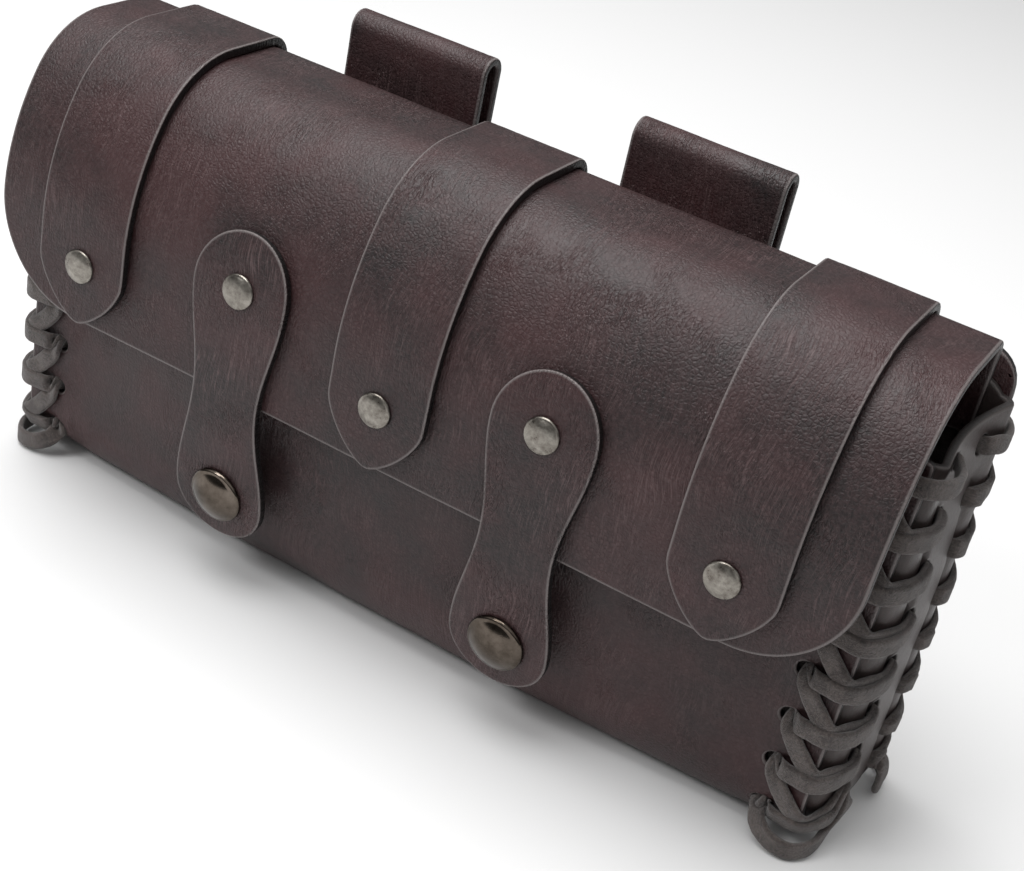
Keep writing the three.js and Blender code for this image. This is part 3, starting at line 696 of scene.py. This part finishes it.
def tabLine():
    start = flapLength - tab["topAboveHem"]
    where = np.interp([start], runLengths(flapRuns), np.arange(len(flapRuns) + 1))
    y, z, heading = followRuns(flapStart, flapRuns, where)
    heading = float(heading[0])
    share = float(smoothStep(np.array([tab["spread"]]), body["bulgeFrom"], body["bulgeTo"])[0])
    bend = -(90 + body["frontLean"] * (1 - share)) + 90 - flap["frontLean"] - tab["inward"]
    runs = [
        arcRun(flap["front"] + gap, -(90 - flap["frontLean"]) - math.degrees(heading)),
        (flap["fall"], 0.0),
        arcRun(tab["bendRadius"], bend),
    ]
    curl = arcRun(tab["curlRadius"], -tab["curl"])
    runs += [(tab["length"] - sum(run[0] for run in runs) - curl[0], 0.0), curl]
    first = (float(y[0]) + math.sin(heading) * gap, float(z[0]) + math.cos(heading) * gap, heading)
    return first, runs


tabStart, tabRuns = tabLine()


def tabWidth(u):
    fromEnd = tab["length"] - u
    rivetAt = tab["length"] - tab["rivetFromTop"]
    span = (fromEnd - tab["snapFromBottom"]) / (rivetAt - tab["snapFromBottom"])
    if span < 0:
        return tab["lobe"] * math.sqrt(max(0, 1 - (1 - fromEnd / tab["snapFromBottom"]) ** 2))
    if span > 1:
        return tab["lobe"] * math.sqrt(max(0, 1 - ((fromEnd - rivetAt) / tab["rivetFromTop"]) ** 2))
    return lerp(tab["lobe"], tab["waist"], (1 - math.cos(2 * math.pi * span)) / 2)


tabStops = np.concatenate([
    tab["rivetFromTop"] * (1 - np.cos(np.linspace(0, np.pi / 2, 30)))[:-1],
    np.linspace(tab["rivetFromTop"], tab["length"] - tab["snapFromBottom"], 60)[:-1],
    tab["length"] - tab["snapFromBottom"] + tab["snapFromBottom"] * np.sin(np.linspace(0, np.pi / 2, 30)),
])
tabCentres = {"left": -tab["spread"], "right": tab["spread"]}
for tabName, centre in tabCentres.items():
    piece = buildSheet(
        "tabSheet_" + tabName, outlineFromWidth(tabStops, tabWidth), [],
        lambda uv, centre=centre: placeOnLine(tabStart, tabRuns, uv, leatherSizes["strap"], centre),
        1, leatherSizes["strap"], {"step": 0.9, "relief": strapRelief, "material": tabLeather, "seed": 13, "edgeRadius": 0.45},
    )
    dress(piece, "strap_leather", "tab_" + tabName)
print("tabs made")


# Belt loops

loop = {
    "width": 40.0, "spread": 40.5, "top": 137.8, "bottom": 52.0, "slot": 4.6, "seat": 15.0, "curve": 10.0, "rivetSpread": 11.0,
}
loopRadius = loop["slot"] / 2 + leatherSizes["loop"]
loopInward = 2 * loopRadius - 2 * leatherSizes["loop"] - gap
loopCurve = math.degrees(math.acos(1 - loopInward / (2 * loop["curve"])))
loopRise = loop["top"] - loopRadius - loop["bottom"]
loopDrop = 2 * loop["curve"] * math.sin(math.radians(loopCurve))
loopStart = (gap, loop["bottom"], math.radians(90))
loopRuns = [
    (loopRise, 0.0), arcRun(loopRadius, 180.0), (loopRise - loopDrop - loop["seat"], 0.0),
    arcRun(loop["curve"], loopCurve), arcRun(loop["curve"], -loopCurve), (loop["seat"], 0.0),
]
loopLength = runLengths(loopRuns)[-1]


def loopRelief(points, uv):
    slant = np.column_stack([points[:, 0] * 0.35 + points[:, 2] * 0.9, points[:, 0] * 0.2, points[:, 1]])
    folds = 0.16 * noiseAt(slant, 9.0, 7.7)
    return folds * smoothStep(uv[:, 0], 45.0, 60.0)


for loopName, centre in {"left": -loop["spread"], "right": loop["spread"]}.items():
    half = loop["width"] / 2
    outline = [(0, half), (loopLength, half), (loopLength, -half), (0, -half)]
    piece = buildSheet(
        "loopSheet_" + loopName, outline, [],
        lambda uv, centre=centre: placeOnLine(loopStart, loopRuns, uv, 0.0, centre),
        -1, leatherSizes["loop"], {"step": 1.0, "relief": loopRelief, "material": strapLeather, "seed": 17},
    )
    dress(piece, "strap_leather", "belt_loop_" + loopName)
print("belt loops made")


# Side gussets

gusset = {
    "turn": 6.0, "fold": 3.5, "pastEdge": 1.8, "belowFrontTop": 1.0, "belowBackTop": 7.0, "swell": 1.4, "tuck": 2.6,
    "faceWidth": 36.0, "height": 125.0, "rows": 14, "swellRows": 4, "backFrom": 13.0, "frontFrom": 16.0, "holeLowest": 13.5,
}
foldArc = gusset["fold"] * math.pi / 2
gussetAcross = 2 * (gusset["turn"] + foldArc) + gusset["faceWidth"]
behindPanel = leatherSizes["panel"] + gap


def gussetEdge(where, v):
    y, z, heading = bodyLine(np.full(len(where), body["frontHalf"]), where)
    foldX = edgeX(y + np.sin(heading) * behindPanel) + gusset["pastEdge"] - gusset["fold"]
    x = foldX + np.minimum(v - gusset["turn"], 0)
    angle = np.clip((v - gusset["turn"]) / foldArc, 0, 1) * np.pi / 2
    y, z, heading = bodyLine(x, where)
    lift = behindPanel + gusset["fold"] * (1 - np.cos(angle))
    return np.column_stack([x + gusset["fold"] * np.sin(angle), y + np.sin(heading) * lift, z + np.cos(heading) * lift])


def placeOnGusset(uv, side):
    row = uv[:, 0] / gusset["height"] * gusset["rows"]
    frontTop = 7 - gusset["belowFrontTop"] / body["topLength"]
    whereFront = np.interp(row, [0, 3, 7, 10, 13, 14], [frontTop, 6, 5, 4, 3, 2.5])
    whereBack = np.interp(row, [0, 8, 12, 14], [gusset["belowBackTop"] / body["backHeight"], 1, 2, 2.5])
    turned = gusset["turn"] + foldArc
    front = gussetEdge(whereFront, np.minimum(uv[:, 1], turned))
    back = gussetEdge(whereBack, np.minimum(gussetAcross - uv[:, 1], turned))
    share = np.clip((uv[:, 1] - turned) / gusset["faceWidth"], 0, 1)
    fade = smoothStep(gusset["rows"] - row, 0, gusset["swellRows"])
    swell = lerp(-gusset["tuck"], gusset["swell"], smoothStep(row, 0, gusset["swellRows"])) * fade
    points = lerp(front, back, share[:, None])
    points[:, 0] += swell * np.sin(np.pi * share)
    points[:, 0] *= side
    return points


def findOnGusset(y, z, side):
    at = np.array([[gusset["height"] * (1 - z / 125.0), 11.5 + (y + 38) / 36 * gusset["faceWidth"]]])
    at = np.clip(at, [4, 12], [gusset["height"] - 4, gussetAcross - 12])
    for _ in range(25):
        here = placeOnGusset(at, side)[0, 1:]
        du = (placeOnGusset(at + [0.2, 0], side)[0, 1:] - here) / 0.2
        dv = (placeOnGusset(at + [0, 0.2], side)[0, 1:] - here) / 0.2
        move = np.linalg.solve(np.column_stack([du, dv]), np.array([y, z]) - here)
        at = at + np.clip(move, -6, 6)
    return float(at[0, 0]), float(at[0, 1])


def gussetRelief(points, uv):
    front, back = uv[:, 1], gussetAcross - uv[:, 1]
    groove = -1.3 * np.exp(-((front - 20.6) / 1.5) ** 2) - 0.9 * np.exp(-((back - 18.4) / 1.5) ** 2)
    bead = 0.5 * np.exp(-((front - 13.5) / 3.0) ** 2) + 0.4 * np.exp(-((back - 12.5) / 2.6) ** 2)
    open = smoothStep(uv[:, 0], 8.0, 18.0) * smoothStep(gusset["height"] - uv[:, 0], 4.0, 14.0)
    return (groove + bead) * open + 0.12 * noiseAt(points, 14.0, 6.3)


gussetFrontHoles, gussetBackHoles = {}, {}
for side, gussetName in ((-1, "left"), (1, "right")):
    frontY = [float(placeOnBody(np.array([findOnBody(side * body["frontHalf"] * 0.999, max(z, body["kneeHeight"] / 2), True)]))[0, 1])
              for z in holeHeights]
    gussetFrontHoles[side] = [findOnGusset(y + gusset["frontFrom"], max(z, gusset["holeLowest"]), side)
                              for y, z in zip(frontY, holeHeights)]
    gussetBackHoles[side] = [findOnGusset(-gusset["backFrom"], max(z, gusset["holeLowest"]), side) for z in holeHeights]
    outline = [(0, 0), (0, gussetAcross), (gusset["height"] - 0.4, gussetAcross), (gusset["height"] - 0.4, 0)]
    holes = [ringHole(u, v, body["holeRadius"]) for u, v in gussetFrontHoles[side] + gussetBackHoles[side]]
    piece = buildSheet(
        "gussetSheet_" + gussetName, outline, holes, lambda uv, side=side: placeOnGusset(uv, side),
        side, leatherSizes["gusset"], {"step": 1.0, "relief": gussetRelief, "material": gussetLeather, "seed": 19,
                                        "edgeRadius": 0.5},
    )
    dress(piece, "gusset_leather", "gusset_" + gussetName)
print("gussets made")

# Suede lacing along the four seams

lace = {
    "width": 4.8, "thickness": 1.6, "step": 0.6, "fuzz": 0.32, "fuzzSize": 1.1,
    "frontBulge": 2.7, "backBulge": 1.5, "cornerWidth": 1.16,
}


def panelPoint(side, x, z, onFront, lift):
    uv = np.array([findOnBody(side * x, z, onFront)])
    here, normal = surfaceAt(placeOnBody, uv, -1)
    return here[0] + normal[0] * lift, normal[0]


def gussetPoint(side, u, v, lift):
    here, normal = surfaceAt(lambda uv: placeOnGusset(uv, side), np.array([[u, v]]), side)
    return here[0] + normal[0] * lift, normal[0]


def gussetRow(side, z, v):
    rows = np.linspace(2, gusset["height"] - 2, 120)
    heights = placeOnGusset(np.column_stack([rows, np.full(120, v)]), side)[:, 2]
    return float(np.interp(-z, -heights, rows))


def smoothPath(stops, step):
    points = np.array([stop[0] for stop in stops])
    normals = np.array([stop[1] for stop in stops])
    widths = np.array([stop[2] if len(stop) > 2 else 1.0 for stop in stops])
    gaps = np.linalg.norm(np.diff(points, axis=0), axis=1)
    along = np.concatenate([[0], np.cumsum(gaps)])
    at = np.linspace(0, along[-1], max(8, int(along[-1] / step)))
    values = np.column_stack([points, normals, widths])
    slopes = np.gradient(values, along, axis=0)
    piece = np.clip(np.searchsorted(along, at, "right") - 1, 0, len(along) - 2)
    span = along[piece + 1] - along[piece]
    t = ((at - along[piece]) / span)[:, None]
    span = span[:, None]
    out = ((2 * t**3 - 3 * t**2 + 1) * values[piece] + (t**3 - 2 * t**2 + t) * span * slopes[piece]
           + (3 * t**2 - 2 * t**3) * values[piece + 1] + (t**3 - t**2) * span * slopes[piece + 1])
    return out[:, :3], out[:, 3:6], out[:, 6]


# A seam joins the panel's holes with the gusset's. Straight strips lie over slanted ones.
def seamPaths(side, onFront, shake):
    turned = gusset["turn"] + foldArc
    panelHoles = (frontHoles if onFront else backHoles)[side]
    otherHoles = (gussetFrontHoles if onFront else gussetBackHoles)[side]
    holeX = frontHoleX if onFront else backHoleX
    edge = holeX + body["holeInset"]
    outward = np.array([side, 0.0, 0.0])

    def atBead(z, share, lift):
        v = turned * share if onFront else gussetAcross - turned * share
        return gussetPoint(side, gussetRow(side, z, v), v, lift)

    paths = []
    for k in range(body["holeRows"]):
        z = holeHeights[k] if onFront else max(holeHeights[k], backLowest)
        start, normal = surfaceAt(placeOnBody, np.array([panelHoles[k]]), -1)
        start, normal = start[0], normal[0]
        u, v = otherHoles[k]
        near = -1 if onFront else 1
        bulge = (lace["frontBulge"] if onFront else lace["backBulge"]) + shake.uniform(-0.4, 0.4)
        dip = shake.uniform(-0.5, 0.3)
        paths.append([
            (start - normal * 3.2 + outward * 0.8, outward),
            (start + normal * 0.1 + outward * 1.3, (outward + normal)),
            (*panelPoint(side, holeX + 3.0, z + dip * 0.3, onFront, 1.6),),
            (*panelPoint(side, holeX + 6.5, z + dip * 0.7, onFront, 2.0),),
            (*panelPoint(side, edge - 0.6, z + dip, onFront, 2.1), 1.08),
            (*atBead(z + dip, 0.86, bulge), lace["cornerWidth"]),
            (*atBead(z + dip, 1.12, bulge), lace["cornerWidth"]),
            (*gussetPoint(side, u, v + near * 3.8, 1.9), 1.12),
            (*gussetPoint(side, u, v + near * 0.6, 0.7), 1.05),
            (*gussetPoint(side, u, v, -2.6),),
        ])
        if k:
            lower = holeHeights[k - 1] if onFront else max(holeHeights[k - 1], backLowest)
            ul, vl = otherHoles[k - 1]
            drop = lower - z
            paths.append([
                (start - normal * 3.2 + outward * 0.4, outward),
                (start + normal * 0.1 + outward * 1.0 + [0, 0, -1.0], (outward + normal)),
                (*panelPoint(side, holeX + 2.6, z + drop * 0.30, onFront, 1.2),),
                (*panelPoint(side, holeX + 6.0, z + drop * 0.62, onFront, 1.2),),
                (*panelPoint(side, edge - 0.8, z + drop * 0.86, onFront, 1.3),),
                (*atBead(z + drop * 0.95, 0.9, 1.3),),
                (*gussetPoint(side, ul, vl + near * 4.5, 1.0),),
                (*gussetPoint(side, ul, vl + near * 0.3, -0.4),),
                (*gussetPoint(side, ul, vl, -2.6),),
            ])
    start, normal = surfaceAt(placeOnBody, np.array([panelHoles[0]]), -1)
    start, normal = start[0], normal[0]
    ahead = np.array([0.0, -1.0 if onFront else 1.0, 0.0])
    u, v = otherHoles[0]
    near = -1 if onFront else 1
    low = lace["width"] / 2 + 0.7
    corner = np.array([side * edge, start[1], low])
    paths.append([
        (start - normal * 3.2 + [0, 0, -0.8], outward),
        (start + normal * 0.4 + [0, 0, -1.2], normal),
        (np.array([side * (holeX + 1.6), start[1], 6.0]) + ahead * 2.6, ahead, 1.1),
        (np.array([side * (holeX + 5.6), start[1], low + 0.7]) + ahead * 4.0, ahead, 1.15),
        (corner + ahead * 3.6, ahead + outward * 0.4, 1.15),
        (corner + outward * 4.0 - ahead * 1.0, ahead * 0.7 + outward, 1.1),
        (corner + outward * 4.8 - ahead * 7.0 + [0, 0, 0.4], outward),
        (*gussetPoint(side, u, v + near * 2.0, 1.9),),
        (*gussetPoint(side, u, v, -2.6),),
    ])
    # inside, the lace runs from hole to hole along the panel
    top = holeHeights[-1] + 2.2
    inner = [panelPoint(side, holeX, z, onFront, -3.4) for z in np.linspace(backLowest - 2, top, 9)]
    paths.append([(place, normal) for place, normal in inner])
    return paths


def newGroup(name, inputs):
    group = bpy.data.node_groups.new(name, "GeometryNodeTree")
    group.interface.new_socket("Geometry", in_out="INPUT", socket_type="NodeSocketGeometry")
    for label, kind in inputs:
        group.interface.new_socket(label, in_out="INPUT", socket_type=kind)
    group.interface.new_socket("Geometry", in_out="OUTPUT", socket_type="NodeSocketGeometry")
    return group, group.nodes.new("NodeGroupInput"), group.nodes.new("NodeGroupOutput")


def groupNode(group, kind, links=None, **values):
    node = group.nodes.new(kind)
    for key, value in values.items():
        setattr(node, key, value)
    for key, source in (links or {}).items():
        if isinstance(source, bpy.types.NodeSocket):
            group.links.new(source, node.inputs[key])
        else:
            node.inputs[key].default_value = source
    return node


def stripGroup():
    group, given, made = newGroup("suedeStrip", [
        ("Width", "NodeSocketFloat"), ("Thickness", "NodeSocketFloat"), ("Fuzz", "NodeSocketFloat"),
        ("Fuzz Size", "NodeSocketFloat"), ("Seed", "NodeSocketFloat"), ("Material", "NodeSocketMaterial"),
    ])
    line = groupNode(group, "GeometryNodeMeshToCurve", {"Mesh": given.outputs["Geometry"]})
    facing = groupNode(group, "GeometryNodeInputNamedAttribute", {"Name": "facing"}, data_type="FLOAT_VECTOR")
    turned = groupNode(group, "GeometryNodeSetCurveNormal",
                       {"Curve": line.outputs[0], "Normal": facing.outputs["Attribute"]}, mode="FREE")
    section = groupNode(group, "GeometryNodeCurvePrimitiveQuadrilateral",
                        {"Width": given.outputs["Thickness"], "Height": given.outputs["Width"]})
    bend = groupNode(group, "ShaderNodeMath", {0: given.outputs["Thickness"], 1: 0.42}, operation="MULTIPLY")
    rounded = groupNode(group, "GeometryNodeFilletCurve", {"Curve": section.outputs[0], "Count": 3, "Radius": bend.outputs[0]},
                        mode="POLY")
    even = groupNode(group, "GeometryNodeResampleCurve", {"Curve": rounded.outputs[0], "Count": 22})
    skin = groupNode(group, "GeometryNodeCurveToMesh",
                     {"Curve": turned.outputs[0], "Profile Curve": even.outputs[0], "Fill Caps": True})
    size = groupNode(group, "ShaderNodeMath", {0: 1.0, 1: given.outputs["Fuzz Size"]}, operation="DIVIDE")
    fuzz = groupNode(group, "ShaderNodeTexNoise",
                     {"Scale": size.outputs[0], "W": given.outputs["Seed"], "Detail": 4.0, "Roughness": 0.75}, noise_dimensions="4D")
    centred = groupNode(group, "ShaderNodeMath", {0: fuzz.outputs[0], 1: 0.5}, operation="SUBTRACT")
    amount = groupNode(group, "ShaderNodeMath", {0: centred.outputs[0], 1: given.outputs["Fuzz"]}, operation="MULTIPLY")
    normal = groupNode(group, "GeometryNodeInputNormal")
    push = groupNode(group, "ShaderNodeVectorMath", {0: normal.outputs[0], "Scale": amount.outputs[0]}, operation="SCALE")
    moved = groupNode(group, "GeometryNodeSetPosition", {"Geometry": skin.outputs[0], "Offset": push.outputs[0]})
    real = groupNode(group, "GeometryNodeRealizeInstances", {"Geometry": moved.outputs[0]})
    painted = groupNode(group, "GeometryNodeSetMaterial",
                        {"Geometry": real.outputs[0], "Material": given.outputs["Material"]})
    group.links.new(painted.outputs[0], made.inputs[0])
    return group


def bakeGroup(source, group, values, name):
    modifier = source.modifiers.new("build", "NODES")
    modifier.node_group = group
    for item in group.interface.items_tree:
        if item.in_out == "INPUT" and item.name in values:
            modifier[item.identifier] = values[item.name]
    source.update_tag()
    bpy.context.view_layer.update()
    ready = source.evaluated_get(bpy.context.evaluated_depsgraph_get())
    mesh = bpy.data.meshes.new_from_object(ready)
    mesh.name = name
    bpy.data.objects.remove(source)
    mesh.shade_smooth()
    piece = bpy.data.objects.new(name, mesh)
    bpy.context.scene.collection.objects.link(piece)
    return piece


def linesObject(name, paths, step):
    points, facings, widths, edges = [], [], [], []
    for stops in paths:
        place, facing, width = smoothPath(stops, step)
        first = sum(len(part) for part in points)
        points.append(toFrame(place))
        facings.append(facing / np.linalg.norm(facing, axis=1)[:, None])
        widths.append(width)
        edges += [(first + i, first + i + 1) for i in range(len(place) - 1)]
    mesh = bpy.data.meshes.new(name)
    mesh.from_pydata(np.vstack(points).tolist(), edges, [])
    facing = mesh.attributes.new("facing", "FLOAT_VECTOR", "POINT")
    facing.data.foreach_set("vector", np.vstack(facings).astype(np.float32).ravel())
    radius = mesh.attributes.new("radius", "FLOAT", "POINT")
    radius.data.foreach_set("value", np.concatenate(widths).astype(np.float32))
    piece = bpy.data.objects.new(name, mesh)
    bpy.context.scene.collection.objects.link(piece)
    return piece


suedeStrip = stripGroup()
for side, laceName in ((-1, "left"), (1, "right")):
    shake = np.random.default_rng(5 + side)
    paths = seamPaths(side, True, shake) + seamPaths(side, False, shake)
    laces = bakeGroup(linesObject("laceLines_" + laceName, paths, lace["step"]), suedeStrip, {
        "Width": lace["width"] * mm, "Thickness": lace["thickness"] * mm, "Fuzz": lace["fuzz"] * mm,
        "Fuzz Size": lace["fuzzSize"] * mm, "Seed": 3.0 + side, "Material": suedeLace,
    }, "laces_" + laceName)
    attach(laces, "root")
    print("laces made", laceName, len(laces.data.polygons))


# Rivets and snap fasteners: turned shapes, set along their axes

rivet = {
    "head": 4.4, "height": 1.5, "shank": 1.4, "back": 3.6, "backHeight": 0.8, "sides": 40,
    "frontGrip": 4.9, "rearGrip": 7.4, "loopGrip": 7.0, "loopHeight": 59.5, "loopFace": 4.65,
}
snap = {"head": 7.6, "height": 3.6, "rim": 0.8, "post": 1.8, "grip": 2.4, "socket": 5.6, "socketDepth": 2.6}


def turnedShape(name, profile, material):
    sides = rivet["sides"]
    angles = np.linspace(0, 2 * np.pi, sides, endpoint=False)
    rings = [np.column_stack([r * np.cos(angles), r * np.sin(angles), np.full(sides, h)]) for r, h in profile]
    verts = np.vstack([*rings, [[0, 0, profile[0][1]]], [[0, 0, profile[-1][1]]]]) * mm
    top, bottom = len(verts) - 2, len(verts) - 1
    last = (len(profile) - 1) * sides
    faces = []
    for i in range(sides):
        j = (i + 1) % sides
        faces.append((top, i, j))
        faces.append((bottom, last + j, last + i))
        for ring in range(len(profile) - 1):
            a = ring * sides
            faces.append((a + i, a + sides + i, a + sides + j, a + j))
    mesh = bpy.data.meshes.new(name)
    mesh.from_pydata(verts.tolist(), [], faces)
    mesh.shade_smooth()
    shape = bpy.data.objects.new(name, mesh)
    bpy.context.scene.collection.objects.link(shape)
    return shape


def domeProfile(radius, height, rim, crown):
    stops = [(radius * share, rim + (height - rim) * (1 - share ** crown)) for share in np.linspace(0.08, 0.9, 14)]
    edge = [(radius * (0.9 + 0.1 * math.sin(a)), rim * 0.5 + (stops[-1][1] - rim * 0.5) * math.cos(a))
            for a in np.linspace(0.25, math.pi / 2, 6)]
    return stops + edge + [(radius, 0.25), (radius * 0.97, 0.0)]


def rivetProfile(grip):
    shank, back, deep = rivet["shank"], rivet["back"], rivet["backHeight"]
    return domeProfile(rivet["head"], rivet["height"], 0.5, 2.6) + [
        (shank, 0.0), (shank, -grip), (back * 0.95, -grip), (back, -grip - 0.2), (back, -grip - deep + 0.25),
        (back * 0.9, -grip - deep), (back * 0.2, -grip - deep),
    ]


def snapProfile():
    post, grip, socket, deep = snap["post"], snap["grip"], snap["socket"], snap["socketDepth"]
    return domeProfile(snap["head"], snap["height"], snap["rim"], 2.2) + [
        (post, 0.0), (post, -grip), (socket * 0.94, -grip), (socket, -grip - 0.3), (socket, -grip - deep + 0.3),
        (socket * 0.95, -grip - deep), (socket * 0.8, -grip - deep), (socket * 0.78, -grip - 1.0), (post, -grip - 1.0),
    ]


def setGroup():
    group, given, made = newGroup("setFasteners", [
        ("Shape", "NodeSocketObject"), ("Material", "NodeSocketMaterial"), ("Turn", "NodeSocketFloat"), ("Seed", "NodeSocketInt"),
    ])
    axis = groupNode(group, "GeometryNodeInputNamedAttribute", {"Name": "axis"}, data_type="FLOAT_VECTOR")
    spin = groupNode(group, "FunctionNodeRandomValue", {2: 0.0, 3: given.outputs["Turn"], "Seed": given.outputs["Seed"]},
                     data_type="FLOAT")
    about = groupNode(group, "ShaderNodeCombineXYZ", {2: spin.outputs[1]})
    aimed = groupNode(group, "FunctionNodeAlignRotationToVector", {"Vector": axis.outputs["Attribute"]}, axis="Z")
    both = groupNode(group, "FunctionNodeRotateRotation", {0: aimed.outputs[0], 1: about.outputs[0]}, rotation_space="LOCAL")
    shape = groupNode(group, "GeometryNodeObjectInfo", {"Object": given.outputs["Shape"], "As Instance": True})
    placed = groupNode(group, "GeometryNodeInstanceOnPoints", {
        "Points": given.outputs["Geometry"], "Instance": shape.outputs["Geometry"], "Rotation": both.outputs[0],
    })
    real = groupNode(group, "GeometryNodeRealizeInstances", {"Geometry": placed.outputs[0]})
    painted = groupNode(group, "GeometryNodeSetMaterial",
                        {"Geometry": real.outputs[0], "Material": given.outputs["Material"]})
    group.links.new(painted.outputs[0], made.inputs[0])
    return group


setFasteners = setGroup()


def fastenerSet(name, shape, material, seats, slot, nodes):
    mesh = bpy.data.meshes.new(name)
    mesh.from_pydata(toFrame([seat[0] for seat in seats]).tolist(), [], [])
    axis = mesh.attributes.new("axis", "FLOAT_VECTOR", "POINT")
    axis.data.foreach_set("vector", np.array([seat[1] for seat in seats], np.float32).ravel())
    points = bpy.data.objects.new(name, mesh)
    bpy.context.scene.collection.objects.link(points)
    piece = bakeGroup(points, setFasteners, {"Shape": shape, "Material": material, "Turn": 6.28, "Seed": 4}, name)
    bpy.data.objects.remove(shape)
    dress(piece, slot, *nodes)
    return piece


def seatOnLine(start, runs, u, lift, centre):
    here, normal = surfaceAt(lambda uv: placeOnLine(start, runs, uv, lift, centre), np.array([[u, 0.0]]), 1)
    return here[0], normal[0]


strapLift = gap + leatherSizes["strap"]
strapSeats = [seatOnLine(flapStart, flapRuns, strapEnd - strap["rivetFromTip"], strapLift + 0.1, x) for x in strapCentres.values()]
rearHeight = flap["rearHeight"] - flap["inside"] + strapStart + strap["rearRivetFromEnd"]
rearSeats = [(np.array([x, 0.1, rearHeight]), np.array([0.0, 1.0, 0.0])) for x in strapCentres.values()]
tabSeats = [seatOnLine(tabStart, tabRuns, tab["rivetFromTop"], leatherSizes["strap"] + 0.1, x) for x in tabCentres.values()]
snapSeats = [seatOnLine(tabStart, tabRuns, tab["length"] - tab["snapFromBottom"], leatherSizes["strap"] + 0.1, x)
             for x in tabCentres.values()]
loopSeats = [(np.array([side * loop["spread"] + away * loop["rivetSpread"], rivet["loopFace"], rivet["loopHeight"]]),
              np.array([0.0, 1.0, 0.0])) for side in (-1, 1) for away in (-1, 1)]
fastenerSet("strapRivets", turnedShape("strapRivet", rivetProfile(rivet["frontGrip"]), rivetNickel), rivetNickel,
            strapSeats, "rivet_metal", ["rivet_strap_" + name for name in strapCentres])
fastenerSet("rearRivets", turnedShape("rearRivet", rivetProfile(rivet["rearGrip"]), rivetNickel), rivetNickel,
            rearSeats, "rivet_metal", ["rivet_back_" + name for name in strapCentres])
fastenerSet("tabRivets", turnedShape("tabRivet", rivetProfile(rivet["frontGrip"]), rivetNickel), rivetNickel,
            tabSeats, "rivet_metal", ["rivet_tab_" + name for name in tabCentres])
fastenerSet("snapCaps", turnedShape("snapCap", snapProfile(), snapChrome), snapChrome,
            snapSeats, "snap_metal", ["snap_cap_" + name for name in tabCentres])
fastenerSet("loopRivets", turnedShape("loopRivet", rivetProfile(rivet["loopGrip"]), rivetNickel), rivetNickel,
            loopSeats, "rivet_metal", ["rivet_loop_" + name + "_" + place for name in ("left", "right") for place in ("outer", "inner")])
print("rivets and snaps made")


# Camera, light and floor

view = {
    "place": (0.16659, -0.32542, 0.26720), "lens": 59.65,
    "right": (0.84333224, 0.50183075, 0.19224107), "down": (0.40238789, -0.35257133, -0.84485350),
    "ahead": (-0.35619478, 0.78984768, -0.49926539),
}
cameraData = bpy.data.cameras.new("photoView")
cameraData.lens = view["lens"]
cameraData.sensor_width = 36.0
cameraData.sensor_fit = "HORIZONTAL"
cameraData.clip_start = 0.01
camera = bpy.data.objects.new("photoView", cameraData)
bpy.context.scene.collection.objects.link(camera)
right, down, ahead = (Vector(view[key]) for key in ("right", "down", "ahead"))
turn = Matrix((right, -down, -ahead)).transposed().to_4x4()
camera.matrix_world = Matrix.Translation(view["place"]) @ turn
bpy.context.scene.camera = camera

floorMesh = bpy.data.meshes.new("floor")
floorMesh.from_pydata([(-3, -3, 0), (3, -3, 0), (3, 3, 0), (-3, 3, 0)], [], [(0, 1, 2, 3)])
floor = bpy.data.objects.new("floor", floorMesh)
bpy.context.scene.collection.objects.link(floor)
floorPaint, floorTree, floorShader = newMaterial("floorPaint")
floorShader.inputs["Base Color"].default_value = (0.78, 0.78, 0.78, 1)
floorShader.inputs["Roughness"].default_value = 0.9
floorMesh.materials.append(floorPaint)

world = bpy.data.worlds.new("softSky")
world.use_nodes = True
sky = world.node_tree
skyPlace = addNode(sky, "TexCoord").outputs["Generated"]
skyHeight = addNode(sky, "SeparateXYZ", {0: skyPlace}).outputs[2]
skyShade = addRamp(sky, skyHeight, [(0.0, 0.55), (0.06, 0.12), (0.3, 0.2), (0.55, 1.0)])
sky.links.new(skyShade, sky.nodes["Background"].inputs["Color"])
sky.nodes["Background"].inputs["Strength"].default_value = 0.68
bpy.context.scene.world = world
bpy.context.scene.view_settings.view_transform = "Standard"


def softLight(name, place, target, size, power):
    data = bpy.data.lights.new(name, "AREA")
    data.shape = "RECTANGLE"
    data.size, data.size_y = size
    data.energy = power
    lamp = bpy.data.objects.new(name, data)
    lamp.location = place
    lamp.rotation_euler = (Vector(target) - Vector(place)).to_track_quat("-Z", "Y").to_euler()
    bpy.context.scene.collection.objects.link(lamp)


softLight("overhead", (-0.22, -0.05, 1.0), (0, 0, 0.08), (0.9, 0.6), 10.0)
softLight("frontKey", (-0.42, -0.75, 0.85), (0, 0, 0.07), (0.4, 0.22), 3.2)
print("camera and lights set")
